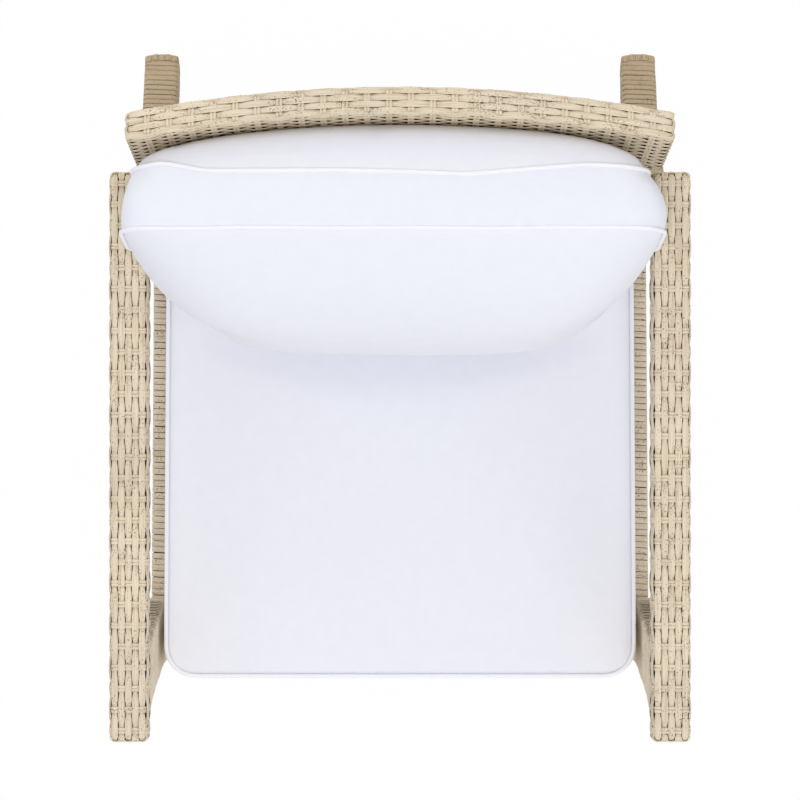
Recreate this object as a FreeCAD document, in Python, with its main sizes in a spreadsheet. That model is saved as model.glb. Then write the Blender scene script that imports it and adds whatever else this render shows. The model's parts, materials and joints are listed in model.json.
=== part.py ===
"""Woven lounge chair with two loose cushions: an aluminium tube frame wrapped in flat
resin strand, a webbing deck, and zipped cushion covers over foam.

Millimetres. +X is the sitter's left-to-right axis, the front is -Y, +Z is up.
The origin is on the floor, under the middle of the chair.
"""
import FreeCAD, Part
import os
import re
import Sketcher
from FreeCAD import Rotation, Vector

# Driving dimensions: name, value, what it is.
SIZES = [
    ("half_width", 375, "centre line to the outside of an arm"),
    ("half_depth", 475, "centre to the front of the arms and to the end of the back feet"),
    ("arm_width", 50, "arm and leg width across the chair"),
    ("arm_thick", 50, "arm thickness"),
    ("arm_top", 620, "floor to the top of the arms"),
    ("back_reach", 219, "arm's back end to the end of the back foot"),
    ("weave_wall", 4, "thickness of the woven strand skin"),
    ("weave_edge", 6, "rounding along a woven arm or rail"),
    ("fit", 0.3, "clearance between a frame tube and the weave round it"),
    ("tube_wall", 2, "aluminium tube wall"),
    ("glide_thick", 6, "height of a foot glide"),
    ("glide_radius", 18, "foot glide radius"),
    ("stem_radius", 4, "glide stem and frame bolt radius"),
    ("stem_length", 22, "glide stem length"),
    ("leg_setback", 74, "arm front to the front of the front foot"),
    ("leg_foot", 57, "front foot, front to back"),
    ("leg_joint", 92, "front leg at the seat rail, front to back"),
    ("leg_neck", 93, "front leg under the arm, front to back"),
    ("leg_neck_setback", 31, "arm front to the front leg under the arm"),
    ("leg_tube", 34, "front leg tube, front to back"),
    ("leg_curve_drop", 70, "height of the front leg's curve into the arm"),
    ("leg_curve_in", 50, "arm front to the foot of that curve"),
    ("seat_height", 300, "floor to the top of the seat rail at the front leg"),
    ("seat_slope", 5, "fall of the seat towards the back, degrees"),
    ("rail_size", 40, "seat rail, square"),
    ("rail_lap", 16, "seat rail outside the line of the legs' inner faces"),
    ("rail_inset", 11, "arm's back end to the seat rail's back end"),
    ("cross_size", 44, "front cross rail, front to back"),
    ("sabre_depth", 50, "back leg, front to back"),
    ("sabre_sweep", 68, "turn of the back leg from upright to its foot, degrees"),
    ("sabre_end", 35, "floor to the top of the back foot's end"),
    ("sabre_inset", 2, "arm end to the back of the back leg"),
    ("sabre_glide", 38, "back foot's end to the middle of its glide"),
    ("back_lap", 12, "backrest outside the line of the arms' inner faces"),
    ("back_rise", 202, "arm top to backrest top, along the backrest"),
    ("back_thick", 34, "backrest thickness"),
    ("back_bow", 33, "depth of the backrest's bow"),
    ("back_recline", 7, "lean of the backrest, degrees"),
    ("back_gap", 4, "arm end to the backrest's front face"),
    ("back_shoulder", 8, "arm top to the backrest's full width, along the backrest"),
    ("stile_width", 30, "backrest stile tube width"),
    ("strap_width", 50, "webbing width"),
    ("strap_thick", 2, "webbing thickness"),
    ("rest_gap", 0.3, "clearance under and behind a loose cushion"),
    ("seat_side_gap", 9, "room each side of the seat cushion for piping and play"),
    ("seat_back_gap", 2.2, "backrest's side to the back of the seat cushion"),
    ("seat_cushion_thick", 125, "seat cushion thickness"),
    ("seat_overhang", 107, "seat cushion in front of the seat rail's end"),
    ("cover_wall", 1.5, "cushion cover cloth with its lining"),
    ("cushion_corner", 24, "corner radius of the seat cushion"),
    ("back_cushion_corner", 80, "front corner radius of the back cushion"),
    ("seam_inset", 2, "cushion face to its piping"),
    ("piping", 6, "piping thickness"),
    ("zip_width", 12, "zip, tape edge to tape edge"),
    ("zip_thick", 2, "zip thickness"),
    ("zip_inset", 60, "cushion's side to the zip's end"),
    ("back_cushion_inset", 1, "backrest's side to the back cushion's side"),
    ("back_cushion_side_gap", 10, "room each side of the back cushion between the arms"),
    ("back_cushion_thick", 222, "back cushion thickness at its fullest"),
    ("back_cushion_edge", 107, "back cushion thickness at its top seam"),
    ("gusset", 73, "back cushion's top panel, from piping to piping"),
    ("back_cushion_rise", 181, "arm top to the back cushion's top"),
    ("bolt_height", 405, "floor to the upper frame bolts"),
    ("bolt_pitch", 100, "upper to lower frame bolt"),
    ("bolt_depth", 11, "backrest's front face to the frame bolts"),
    ("cross_back", 70, "rear cross rail, in from the seat rail's end"),
    ("cross_back_size", 30, "rear cross rail, square"),
]
SIDES = (("left", -1), ("right", 1))
STRAPS_ACROSS = 6
STRAPS_ALONG = 5

doc = FreeCAD.newDocument("LoungeChair")
sheet = doc.addObject("Spreadsheet::Sheet", "Sizes")
for row, (alias, number, meaning) in enumerate(SIZES, 1):
    sheet.set(f"A{row}", str(number))
    sheet.setAlias(f"A{row}", alias)
    sheet.set(f"B{row}", meaning)
doc.recompute()

NAMES = re.compile(r"\b(" + "|".join(alias for alias, _, _ in SIZES) + r")\b")

# Lengths that follow from the driving dimensions, as expressions.
ARM_INSIDE = "(half_width - arm_width)"
ARM_UNDER = "(arm_top - arm_thick)"
ARM_END = "(half_depth - back_reach)"
SABRE_BACK = "(half_depth - back_reach - sabre_inset)"
SABRE_RADIUS = f"((half_depth - {SABRE_BACK}) / (1 - cos(sabre_sweep)))"
SABRE_BEND_TOP = f"(sabre_end + {SABRE_RADIUS} * sin(sabre_sweep))"
JOINT_BACK = "(leg_setback + leg_joint - half_depth)"
BACK_HALF = f"({ARM_INSIDE} + back_lap)"
BOW_RADIUS = f"(({BACK_HALF} ^ 2 + back_bow ^ 2) / (2 * back_bow))"
RAIL_OUTSIDE = f"({ARM_INSIDE} + rail_lap)"
RAIL_LENGTH = f"(({ARM_END} - rail_inset - {JOINT_BACK}) / cos(seat_slope))"
DECK = "(2 * strap_thick + 2 * rest_gap)"
BACK_FOOT_Y = f"({ARM_END} + back_gap)"
SEAT_HALF = f"({ARM_INSIDE} - seat_side_gap)"
SEAT_TOP = f"({DECK} + seat_cushion_thick)"
SEAT_BACK = (
    f"(({BACK_FOOT_Y} - {JOINT_BACK} - {DECK} * sin(seat_slope) - seat_back_gap"
    f" - (arm_top - seat_height - {DECK} * cos(seat_slope)) * tan(back_recline))"
    " / (cos(seat_slope) + sin(seat_slope) * tan(back_recline)))"
)
BACK_CUSHION_HALF = f"({BACK_HALF} - back_cushion_inset)"
BACK_CUSHION_LOW = f"({ARM_INSIDE} - back_cushion_side_gap)"
LOW_HALF = f"({ARM_INSIDE} - fit)"


def drop_to(along, up):
    """How far down the backrest's slope a level edge stops, just over a point of the seat's frame."""
    y = f"({JOINT_BACK} + {along} * cos(seat_slope) + {up} * sin(seat_slope))"
    z = f"(seat_height + {up} * cos(seat_slope) - {along} * sin(seat_slope))"
    return f"(cos(back_recline) * (arm_top + ({BACK_FOOT_Y} - {y}) * tan(back_recline) - {z} - rest_gap))"


BACK_DROP = drop_to(RAIL_LENGTH, "0")
CUSHION_DROP = drop_to(SEAT_BACK, SEAT_TOP)


def bound(expression):
    """The expression with each size name pointing at its cell."""
    return NAMES.sub(r"Sizes.\1", expression)


def bind(item, **properties):
    for name, expression in properties.items():
        item.setExpression(name, bound(expression))


def seat_at(item, x, y, z, turn=None):
    """Place an item by three expressions, after an optional fixed turn."""
    if turn is not None:
        item.Placement.Rotation = turn
    for axis, expression in zip("xyz", (x, y, z)):
        item.setExpression(f"Placement.Base.{axis}", bound(expression))
    return item


def span(ends, side):
    """Both ends of a span across the chair, mirrored on the left side."""
    return ends if side > 0 else (f"-({ends[1]})", f"-({ends[0]})")


def block(name, x, y, z, side=1):
    """A box between two expressions on each axis."""
    x = span(x, side)
    box = doc.addObject("Part::Box", name)
    bind(box, Length=f"({x[1]}) - ({x[0]})", Width=f"({y[1]}) - ({y[0]})", Height=f"({z[1]}) - ({z[0]})")
    return seat_at(box, x[0], y[0], z[0])


def drum(name, radius, length, x, y, z, turn=None, sweep=None):
    """A cylinder, or a sector of one, along +Z before its turn."""
    cylinder = doc.addObject("Part::Cylinder", name)
    bind(cylinder, Radius=radius, Height=length)
    if sweep is not None:
        bind(cylinder, Angle=sweep)
    return seat_at(cylinder, x, y, z, turn)


def cut(name, base, *tools):
    """The base with every tool taken away."""
    result = doc.addObject("Part::Cut", name)
    result.Base = base
    result.Tool = tools[0] if len(tools) == 1 else joined(name + "_cutters", *tools)
    return result


def joined(name, *items):
    fuse = doc.addObject("Part::MultiFuse", name)
    fuse.Shapes = list(items)
    fuse.Refine = True
    return fuse


def shared(name, *items):
    common = doc.addObject("Part::MultiCommon", name)
    common.Shapes = list(items)
    return common


def group(name, *items):
    compound = doc.addObject("Part::Compound", name)
    compound.Links = list(items)
    return compound


def rounded(name, base, expression, pick):
    """Round the straight edges that pick(middle, direction) chooses."""
    radius = sheet_value(expression)
    chosen = []
    for number, edge in enumerate(base.Shape.Edges, 1):
        middle = edge.valueAt((edge.FirstParameter + edge.LastParameter) / 2)
        if pick(middle, edge.tangentAt(edge.FirstParameter)):
            chosen.append((number, radius, radius))
    fillet = doc.addObject("Part::Fillet", name)
    fillet.Base = base
    fillet.Edges = chosen
    return fillet


def along_y(middle, direction):
    return abs(direction.y) > 0.9


def along_z(middle, direction):
    return abs(direction.z) > 0.9


ON_SEAT = ("0", JOINT_BACK, "seat_height", "seat_slope")
ON_BACK = ("0", BACK_FOOT_Y, "arm_top", "back_recline")


def tilted(item, frame):
    """Carry a finished item from a level working frame to the seat's or the backrest's slope."""
    seat_at(item, *frame[:3], Rotation(Vector(-1, 0, 0), 1))
    item.setExpression("Placement.Rotation.Angle", bound(frame[3]))
    return item


nodes = {}


def keep(node, item):
    """Name an item as one piece of the chair."""
    item.Label = node
    nodes[node] = item
    return item


# ---------------------------------------------------------------- side frames

def arm(word, side):
    """A level arm: square tube in a woven skin, with openings below for the leg tubes."""
    y = ("-half_depth", ARM_END)
    outer = block(f"arm_outer_{word}", (ARM_INSIDE, "half_width"), y, (ARM_UNDER, "arm_top"), side)
    soft = rounded(f"arm_soft_{word}", outer, "weave_edge", along_y)

    def nest(name, inset):
        return block(
            name,
            (f"{ARM_INSIDE} + {inset}", f"half_width - {inset}"),
            (f"-half_depth + {inset}", f"{ARM_END} - {inset}"),
            (f"{ARM_UNDER} + {inset}", f"arm_top - {inset}"),
            side,
        )

    channel = nest(f"arm_channel_{word}", "weave_wall")
    under = (ARM_UNDER, "arm_top - arm_thick / 2")
    front_hole = block(f"arm_front_hole_{word}", *front_tube_span("0"), under, side)
    back_hole = block(f"arm_back_hole_{word}", *back_tube_span("0"), under, side)
    keep(f"arm_weave_{word}", cut(f"ArmWeave_{word}", soft, channel, front_hole, back_hole))
    tube = nest(f"arm_tube_outer_{word}", "(weave_wall + fit)")
    bore = nest(f"arm_tube_bore_{word}", "(weave_wall + fit + tube_wall)")
    keep(f"arm_tube_{word}", cut(f"ArmTube_{word}", tube, bore))


def front_tube_span(inset):
    """Where the front leg's tube stands, across and along the chair, grown to its channel."""
    middle = "(leg_setback + leg_foot / 2 - half_depth)"
    half = f"(leg_tube / 2 + fit - {inset})"
    return (
        (f"{ARM_INSIDE} + weave_wall + {inset}", f"half_width - weave_wall - {inset}"),
        (f"{middle} - {half}", f"{middle} + {half}"),
    )


def back_tube_span(inset):
    """Where the back leg's tube stands under the arm, grown to its channel."""
    return (
        (f"{ARM_INSIDE} + weave_wall + {inset}", f"half_width - weave_wall - {inset}"),
        (f"{SABRE_BACK} - sabre_depth + weave_wall + {inset}", f"{SABRE_BACK} - weave_wall - {inset}"),
    )


def outline_pad(name, points, x_low, width):
    """A body padded across the chair from a closed outline of (y, z) expressions."""
    body = doc.addObject("PartDesign::Body", name)
    plane = [item for item in body.Origin.OriginFeatures if item.Role == "YZ_Plane"][0]
    sketch = body.newObject("Sketcher::SketchObject", f"{name}_outline")
    sketch.AttachmentSupport = [(plane, "")]
    sketch.MapMode = "FlatFace"
    numbers = [[sheet_value(part) for part in point] for point in points]
    corners = [Vector(y, z, 0) for y, z in numbers]
    for number, corner in enumerate(corners):
        sketch.addGeometry(Part.LineSegment(corner, corners[(number + 1) % len(corners)]))
    for number in range(len(corners)):
        sketch.addConstraint(Sketcher.Constraint("Coincident", number, 2, (number + 1) % len(corners), 1))
    for number, (y, z) in enumerate(points):
        for kind, value, expression in zip(("DistanceX", "DistanceY"), numbers[number], (y, z)):
            index = sketch.addConstraint(Sketcher.Constraint(kind, -1, 1, number, 1, value))
            sketch.setExpression(f"Constraints[{index}]", bound(expression))
    pad = body.newObject("PartDesign::Pad", f"{name}_pad")
    pad.Profile = sketch
    bind(pad, Length=width)
    seat_at(body, x_low, "-half_depth", "0")
    return body


def sheet_value(expression):
    """The present number behind an expression of plain arithmetic on size names."""
    probe = doc.addObject("App::FeaturePython", "probe")
    probe.addProperty("App::PropertyFloat", "Value")
    probe.setExpression("Value", bound(expression))
    doc.recompute()
    value = probe.Value
    doc.removeObject(probe.Name)
    return value


def front_leg(word, side):
    """A blade that swells at the seat rail, with a square tube standing in it."""
    foot_back = "leg_setback + leg_foot"
    points = [
        ("leg_setback", "glide_thick"),
        (foot_back, "glide_thick"),
        ("leg_setback + leg_joint", "seat_height - rail_size / 2"),
        ("leg_setback + leg_joint", "seat_height + rail_size / 2"),
        ("leg_neck_setback + leg_neck", ARM_UNDER),
        ("leg_neck_setback", ARM_UNDER),
        ("leg_curve_in", f"{ARM_UNDER} - leg_curve_drop"),
        ("leg_setback - 1", "seat_height"),
    ]
    low = span((ARM_INSIDE, "half_width"), side)[0]
    blade = outline_pad(f"front_blade_{word}", points, low, "arm_width")
    bottom = "glide_thick + weave_wall"
    channel = block(f"front_channel_{word}", *front_tube_span("0"), (bottom, ARM_UNDER), side)
    stem_hole = glide_hole(f"front_stem_{word}", front_glide_place(side))
    keep(f"front_leg_weave_{word}", cut(f"FrontLegWeave_{word}", blade, channel, stem_hole))
    top = f"{ARM_UNDER} + weave_wall + fit"
    tube = block(f"front_tube_outer_{word}", *front_tube_span("fit"), (f"{bottom} + fit", top), side)
    bore = block(
        f"front_tube_bore_{word}",
        *front_tube_span("(fit + tube_wall)"),
        (f"{bottom} + fit + tube_wall", top),
        side,
    )
    tube_hole = glide_hole(f"front_tube_stem_{word}", front_glide_place(side))
    keep(f"front_leg_tube_{word}", cut(f"FrontLegTube_{word}", tube, bore, tube_hole))


def sabre(name, inset, bottom, top, side):
    """The back leg's shape: upright under the arm, then one long bend out to the foot."""
    x = (f"{ARM_INSIDE} + {inset}", f"half_width - {inset}")
    post = block(
        f"{name}_post",
        x,
        (f"{SABRE_BACK} - sabre_depth + {inset}", f"{SABRE_BACK} - {inset}"),
        (SABRE_BEND_TOP, top),
        side,
    )
    turn = Rotation(Vector(0, -1, 0), Vector(0, 0, -1), Vector(1, 0, 0), "XYZ")
    place = (span(x, side)[0], f"{SABRE_BACK} + {SABRE_RADIUS}", SABRE_BEND_TOP)
    width = f"arm_width - 2 * {inset}"
    sweep = f"sabre_sweep - {inset} / {SABRE_RADIUS} * 180 / pi"
    outer = drum(f"{name}_outer", f"{SABRE_RADIUS} + sabre_depth - {inset}", width, *place, turn, sweep)
    inner = drum(f"{name}_inner", f"{SABRE_RADIUS} + {inset}", width, *place, turn)
    bend = cut(f"{name}_bend", outer, inner)
    whole = joined(f"{name}_whole", post, bend)
    room = block(f"{name}_room", x, ("0", "half_depth + 10"), (bottom, top), side)
    return shared(name, whole, room)


def back_leg(word, side):
    under = "glide_thick"
    blade = sabre(f"sabre_blade_{word}", "0", under, ARM_UNDER, side)
    hollow = sabre(f"sabre_hollow_{word}", "weave_wall", f"{under} + weave_wall", ARM_UNDER, side)
    stem_hole = glide_hole(f"back_stem_{word}", back_glide_place(side))
    bolt_holes = bolts(f"leg_bolt_holes_{word}", "stem_radius + fit", side)
    keep(f"back_leg_weave_{word}", cut(f"BackLegWeave_{word}", blade, hollow, stem_hole, *bolt_holes))
    top = f"{ARM_UNDER} + weave_wall + fit"
    inset = "(weave_wall + fit)"
    tube = sabre(f"sabre_tube_{word}", inset, f"{under} + {inset}", top, side)
    inset = "(weave_wall + fit + tube_wall)"
    bore = sabre(f"sabre_bore_{word}", inset, f"{under} + {inset}", top, side)
    tube_hole = glide_hole(f"back_tube_stem_{word}", back_glide_place(side))
    tube_bolt_holes = bolts(f"tube_bolt_holes_{word}", "stem_radius + fit", side)
    keep(f"back_leg_tube_{word}", cut(f"BackLegTube_{word}", tube, bore, tube_hole, *tube_bolt_holes))


# ---------------------------------------------------------------- feet and bolts

def front_glide_place(side):
    x = span((f"{ARM_INSIDE} + arm_width / 2", f"{ARM_INSIDE} + arm_width / 2"), side)[0]
    return x, "leg_setback + leg_foot / 2 - half_depth"


def back_glide_place(side):
    x = front_glide_place(side)[0]
    return x, "half_depth - sabre_glide"


def glide_hole(name, place):
    return drum(name, "stem_radius + fit", "stem_length", *place, "glide_thick")


def glide(node, place):
    """A hard plastic disc with a stem that pushes up into the leg tube."""
    disc = drum(f"{node}_disc", "glide_radius", "glide_thick", *place, "0")
    stem = drum(f"{node}_stem", "stem_radius", "stem_length", *place, "glide_thick")
    keep(node, joined(f"{node}_body", disc, stem))


def bolts(name, radius, side):
    """Cylinders across the chair where the backrest is bolted to a back leg."""
    turn = Rotation(Vector(0, 1, 0), 90)
    found = []
    x = span((f"{LOW_HALF} - weave_wall - stile_width / 2", "half_width - weave_wall"), side)
    for number, height in enumerate(("bolt_height", "(bolt_height - bolt_pitch)"), 1):
        y = f"{BACK_FOOT_Y} + bolt_depth + ({height} - arm_top) * tan(back_recline)"
        found.append(drum(f"{name}_{number}", radius, f"({x[1]}) - ({x[0]})", x[0], y, height, turn))
    return found


# ---------------------------------------------------------------- seat frame

def square_tube(node_skin, node_tube, x, y, z, ends, side=1, cutter=None):
    """A woven skin round a square tube, both level and open at the given ends."""

    def nest(name, inset):
        y_inset = f"({inset}) * {ends[1]}"
        x_inset = f"({inset}) * {ends[0]}"
        return block(
            name,
            (f"{x[0]} + {x_inset}", f"{x[1]} - {x_inset}"),
            (f"{y[0]} + {y_inset}", f"{y[1]} - {y_inset}"),
            (f"{z[0]} + {inset}", f"{z[1]} - {inset}"),
            side,
        )

    runs_along = along_y if ends[0] else lambda middle, direction: abs(direction.x) > 0.9
    outer = rounded(f"{node_skin}_soft", nest(f"{node_skin}_outer", "0"), "weave_edge", runs_along)
    skin = cut(f"{node_skin}_shell", outer, nest(f"{node_skin}_channel", "weave_wall"))
    tube_outer = nest(f"{node_tube}_outer", "(weave_wall + fit)")
    tube = cut(f"{node_tube}_shell", tube_outer, nest(f"{node_tube}_bore", "(weave_wall + fit + tube_wall)"))
    return skin, tube


def side_rail(word, side):
    """A sloping seat rail from the front leg to the back leg, shaped to the back leg it meets."""
    skin, tube = square_tube(
        f"rail_weave_{word}",
        f"rail_tube_{word}",
        (f"{RAIL_OUTSIDE} - rail_size", RAIL_OUTSIDE),
        ("rail_size * tan(seat_slope) + fit", RAIL_LENGTH),
        ("-rail_size", "0"),
        (1, 0),
        side,
    )
    for node, item in ((f"side_rail_weave_{word}", skin), (f"side_rail_tube_{word}", tube)):
        tilted(item, ON_SEAT)
        leg = sabre(f"{node}_leg_room", "(-fit)", "glide_thick", ARM_UNDER, side)
        keep(node, cut(f"{node}_fitted", item, leg))


def cross_rails():
    """The front cross rail in its weave, and a bare tube across the back of the deck."""
    skin, tube = square_tube(
        "cross_weave",
        "cross_tube",
        (f"-({LOW_HALF})", LOW_HALF),
        ("-cross_size", "0"),
        ("-rail_size", "0"),
        (0, 1),
    )
    keep("front_cross_weave", tilted(skin, ON_SEAT))
    keep("front_cross_tube", tilted(tube, ON_SEAT))
    reach = f"({RAIL_OUTSIDE} - rail_size - fit)"
    y = (f"{RAIL_LENGTH} - cross_back", f"{RAIL_LENGTH} - cross_back + cross_back_size")
    outer = block("rear_cross_outer", (f"-{reach}", reach), y, ("-cross_back_size", "0"))
    bore = block(
        "rear_cross_bore",
        (f"-{reach}", reach),
        (f"{y[0]} + tube_wall", f"{y[1]} - tube_wall"),
        ("-cross_back_size + tube_wall", "-tube_wall"),
    )
    keep("rear_cross_tube", tilted(cut("rear_cross_shell", outer, bore), ON_SEAT))


def webbing():
    """Straps across the side rails, and straps along from the front to the rear cross rail."""
    reach = f"({RAIL_OUTSIDE} - rail_size / 2)"
    pitch = f"(({RAIL_LENGTH} - cross_back) / {STRAPS_ACROSS})"
    across = []
    for number in range(STRAPS_ACROSS):
        start = f"{pitch} * {number + 0.5} - strap_width / 2 + 6"
        across.append(
            block(
                f"strap_across_{number}",
                (f"-{reach}", reach),
                (start, f"{start} + strap_width"),
                ("0", "strap_thick"),
            )
        )
    keep("seat_straps_across", tilted(group("straps_across", *across), ON_SEAT))
    step = f"(2 * {LOW_HALF} / {STRAPS_ALONG})"
    along = []
    for number in range(STRAPS_ALONG):
        start = f"-{LOW_HALF} + {step} * {number + 0.5} - strap_width / 2"
        along.append(
            block(
                f"strap_along_{number}",
                (start, f"{start} + strap_width"),
                ("-cross_size / 2", f"{RAIL_LENGTH} - cross_back + cross_back_size / 2"),
                ("strap_thick + rest_gap", "2 * strap_thick + rest_gap"),
            )
        )
    keep("seat_straps_along", tilted(group("straps_along", *along), ON_SEAT))


# ---------------------------------------------------------------- backrest

def bowed_slab(name, x, z, near="0", far="back_thick"):
    """A slab between two upright arcs, bowed towards the back in the middle."""
    length = f"({z[1]}) - ({z[0]})"
    place = ("0", f"back_bow - {BOW_RADIUS}", z[0])
    outer = drum(f"{name}_far", f"{BOW_RADIUS} + {far}", length, *place)
    inner = drum(f"{name}_near", f"{BOW_RADIUS} + {near}", length, *place)
    room = block(f"{name}_room", x, ("-back_cushion_thick", "back_cushion_thick"), z)
    return shared(name, cut(f"{name}_ring", outer, inner), room)


def bowed_shell(name, inset, x, z):
    """The backrest's slab, shrunk by an inset front and back."""
    return bowed_slab(name, x, z, f"{inset}", f"back_thick - {inset}")


def backrest_form(name, inset):
    """The backrest: full width above the arms, and narrower where it drops between the legs."""
    upper = bowed_shell(
        f"{name}_upper",
        inset,
        (f"-{BACK_HALF} + {inset}", f"{BACK_HALF} - {inset}"),
        (f"back_shoulder + {inset}", f"back_rise - {inset}"),
    )
    lower = bowed_shell(
        f"{name}_lower",
        inset,
        (f"-{LOW_HALF} + {inset}", f"{LOW_HALF} - {inset}"),
        (f"-{BACK_DROP} + {inset}", f"back_shoulder + 2 + {inset}"),
    )
    return joined(name, upper, lower)


def backrest():
    form = backrest_form("back_form", "0")
    skin = cut("back_skin", form, backrest_form("back_hollow", "weave_wall"))
    tilted(skin, ON_BACK)
    drilled = []
    for word, side in SIDES:
        drilled += bolts(f"back_bolt_holes_{word}", "stem_radius + fit", side)
    keep("backrest_weave", cut("BackrestWeave", skin, *drilled))
    inset = "(weave_wall + fit)"
    inner_half = f"({LOW_HALF} - {inset})"
    stile_side = f"({inner_half} - stile_width)"

    def rail(node, z, half):
        x = (f"-{half}", half)
        tube = bowed_shell(f"{node}_outer", inset, x, z)
        hollow = (f"{z[0]} + tube_wall", f"{z[1]} - tube_wall")
        bore = bowed_shell(f"{node}_bore", f"({inset} + tube_wall)", x, hollow)
        keep(node, tilted(cut(f"{node}_shell", tube, bore), ON_BACK))

    top = f"(back_rise - {inset})"
    bottom = f"(-{BACK_DROP} + {inset})"
    rail("backrest_top_tube", (f"{top} - stile_width", top), f"({BACK_HALF} - {inset})")
    rail("backrest_bottom_tube", (bottom, f"{bottom} + stile_width"), inner_half)
    for word, sign in SIDES:
        z = (f"{bottom} + stile_width", f"{top} - stile_width")
        stile = bowed_shell(f"stile_{word}", inset, span((stile_side, inner_half), sign), z)
        inner = (f"{stile_side} + tube_wall", f"{inner_half} - tube_wall")
        bore = bowed_shell(f"stile_bore_{word}", f"({inset} + tube_wall)", span(inner, sign), z)
        tube = tilted(cut(f"stile_shell_{word}", stile, bore), ON_BACK)
        holes = bolts(f"stile_bolt_holes_{word}", "stem_radius + fit", sign)
        keep(f"backrest_stile_{word}", cut(f"Stile_{word}", tube, *holes))
        shanks = bolts(f"back_bolt_{word}", "stem_radius", sign)
        keep(f"backrest_bolts_{word}", group(f"BackBolts_{word}", *shanks))


# ---------------------------------------------------------------- cushions

def band(name, x, y, z, corner, thick):
    """A closed ring of rectangular section round an upright rounded block."""
    grown = [(f"{low} - {thick}", f"{high} + {thick}") for low, high in (x, y)]
    outer = rounded(f"{name}_outer_soft", block(f"{name}_outer", *grown, z), f"{corner} + {thick}", along_z)
    inner = rounded(f"{name}_inner_soft", block(f"{name}_inner", x, y, z), corner, along_z)
    return cut(name, outer, inner)


def seat_cushion():
    """A boxed cushion: zipped cover over foam, piping round its top and bottom edges."""
    corner = "cushion_corner"
    gap = "rest_gap"
    low = DECK
    high = SEAT_TOP
    x = (f"-{SEAT_HALF}", SEAT_HALF)
    y = ("-seat_overhang", SEAT_BACK)
    cover = rounded("seat_cover_soft", block("seat_cover_block", x, y, (low, high)), corner, along_z)
    wall = "cover_wall"
    inner_x = (f"{x[0]} + {wall}", f"{x[1]} - {wall}")
    inner_y = (f"{y[0]} + {wall}", f"{y[1]} - {wall}")
    hollow = rounded(
        "seat_cover_hollow_soft",
        block("seat_cover_hollow", inner_x, inner_y, (f"{low} + {wall}", f"{high} - {wall}")),
        f"{corner} - {wall}",
        along_z,
    )
    keep("seat_cushion_cover", tilted(cut("SeatCover", cover, hollow), ON_SEAT))
    foam = rounded(
        "seat_foam_soft",
        block(
            "seat_foam_block",
            (f"{inner_x[0]} + {gap}", f"{inner_x[1]} - {gap}"),
            (f"{inner_y[0]} + {gap}", f"{inner_y[1]} - {gap}"),
            (f"{low} + {wall} + {gap}", f"{high} - {wall} - {gap}"),
        ),
        f"{corner} - {wall} - {gap}",
        along_z,
    )
    keep("seat_cushion_foam", tilted(group("SeatFoam", foam), ON_SEAT))
    rim_x = (f"{x[0]} - {gap}", f"{x[1]} + {gap}")
    rim_y = (f"{y[0]} - {gap}", f"{y[1]} + {gap}")
    rims = {
        "top": (f"{high} - seam_inset - piping", f"{high} - seam_inset"),
        "bottom": (f"{low} + seam_inset", f"{low} + seam_inset + piping"),
    }
    for word, z in rims.items():
        rim = band(f"seat_piping_rim_{word}", rim_x, rim_y, z, corner, "piping")
        keep(f"seat_cushion_piping_{word}", tilted(group(f"SeatPiping_{word}", rim), ON_SEAT))
    middle = f"({low} + seat_cushion_thick / 2)"
    tape = block(
        "seat_zip_tape",
        (f"-{SEAT_HALF} + zip_inset", f"{SEAT_HALF} - zip_inset"),
        (f"{y[1]} + {gap}", f"{y[1]} + {gap} + zip_thick"),
        (f"{middle} - zip_width / 2", f"{middle} + zip_width / 2"),
    )
    keep("seat_cushion_zip", tilted(group("SeatZip", tape), ON_SEAT))


def back_cushion_form(name, inset):
    """A plump cushion: its front swells in a long arc, its back follows the bowed backrest."""
    half_height = f"((back_cushion_rise + {CUSHION_DROP}) / 2)"
    swell = "(back_cushion_thick - back_cushion_edge)"
    radius = f"(({half_height} ^ 2 + {swell} ^ 2) / (2 * {swell}))"
    middle = f"((back_cushion_rise - {CUSHION_DROP}) / 2)"
    z = (f"-{CUSHION_DROP} + {inset}", f"back_cushion_rise - {inset}")
    room = rounded(
        f"{name}_soft",
        block(
            f"{name}_room",
            (f"-{BACK_CUSHION_HALF} + {inset}", f"{BACK_CUSHION_HALF} - {inset}"),
            (f"-back_cushion_thick + {inset}", "back_cushion_thick / 2"),
            z,
        ),
        "back_cushion_corner",
        lambda point, direction: abs(direction.z) > 0.9 and point.y < 0,
    )
    lens = drum(
        f"{name}_lens",
        f"{radius} - {inset}",
        f"2 * {BACK_CUSHION_HALF}",
        f"-{BACK_CUSHION_HALF}",
        f"{radius} - back_cushion_thick",
        middle,
        Rotation(Vector(0, 1, 0), 90),
    )
    rear = drum(
        f"{name}_rear",
        f"{BOW_RADIUS} - 2 * rest_gap - zip_thick - {inset}",
        f"({z[1]}) - ({z[0]})",
        "0",
        f"back_bow - {BOW_RADIUS}",
        z[0],
    )
    body = shared(f"{name}_whole", room, lens, rear)
    sides = []
    for word, side in SIDES:
        x = (f"{BACK_CUSHION_LOW} - {inset}", f"{BACK_CUSHION_HALF} + 10")
        y = ("-2 * back_cushion_thick", "back_cushion_thick")
        z = (f"-{CUSHION_DROP} - 10", f"back_shoulder + 4 + {inset}")
        sides.append(block(f"{name}_side_{word}", x, y, z, side))
    return cut(name, body, *sides)


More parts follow.
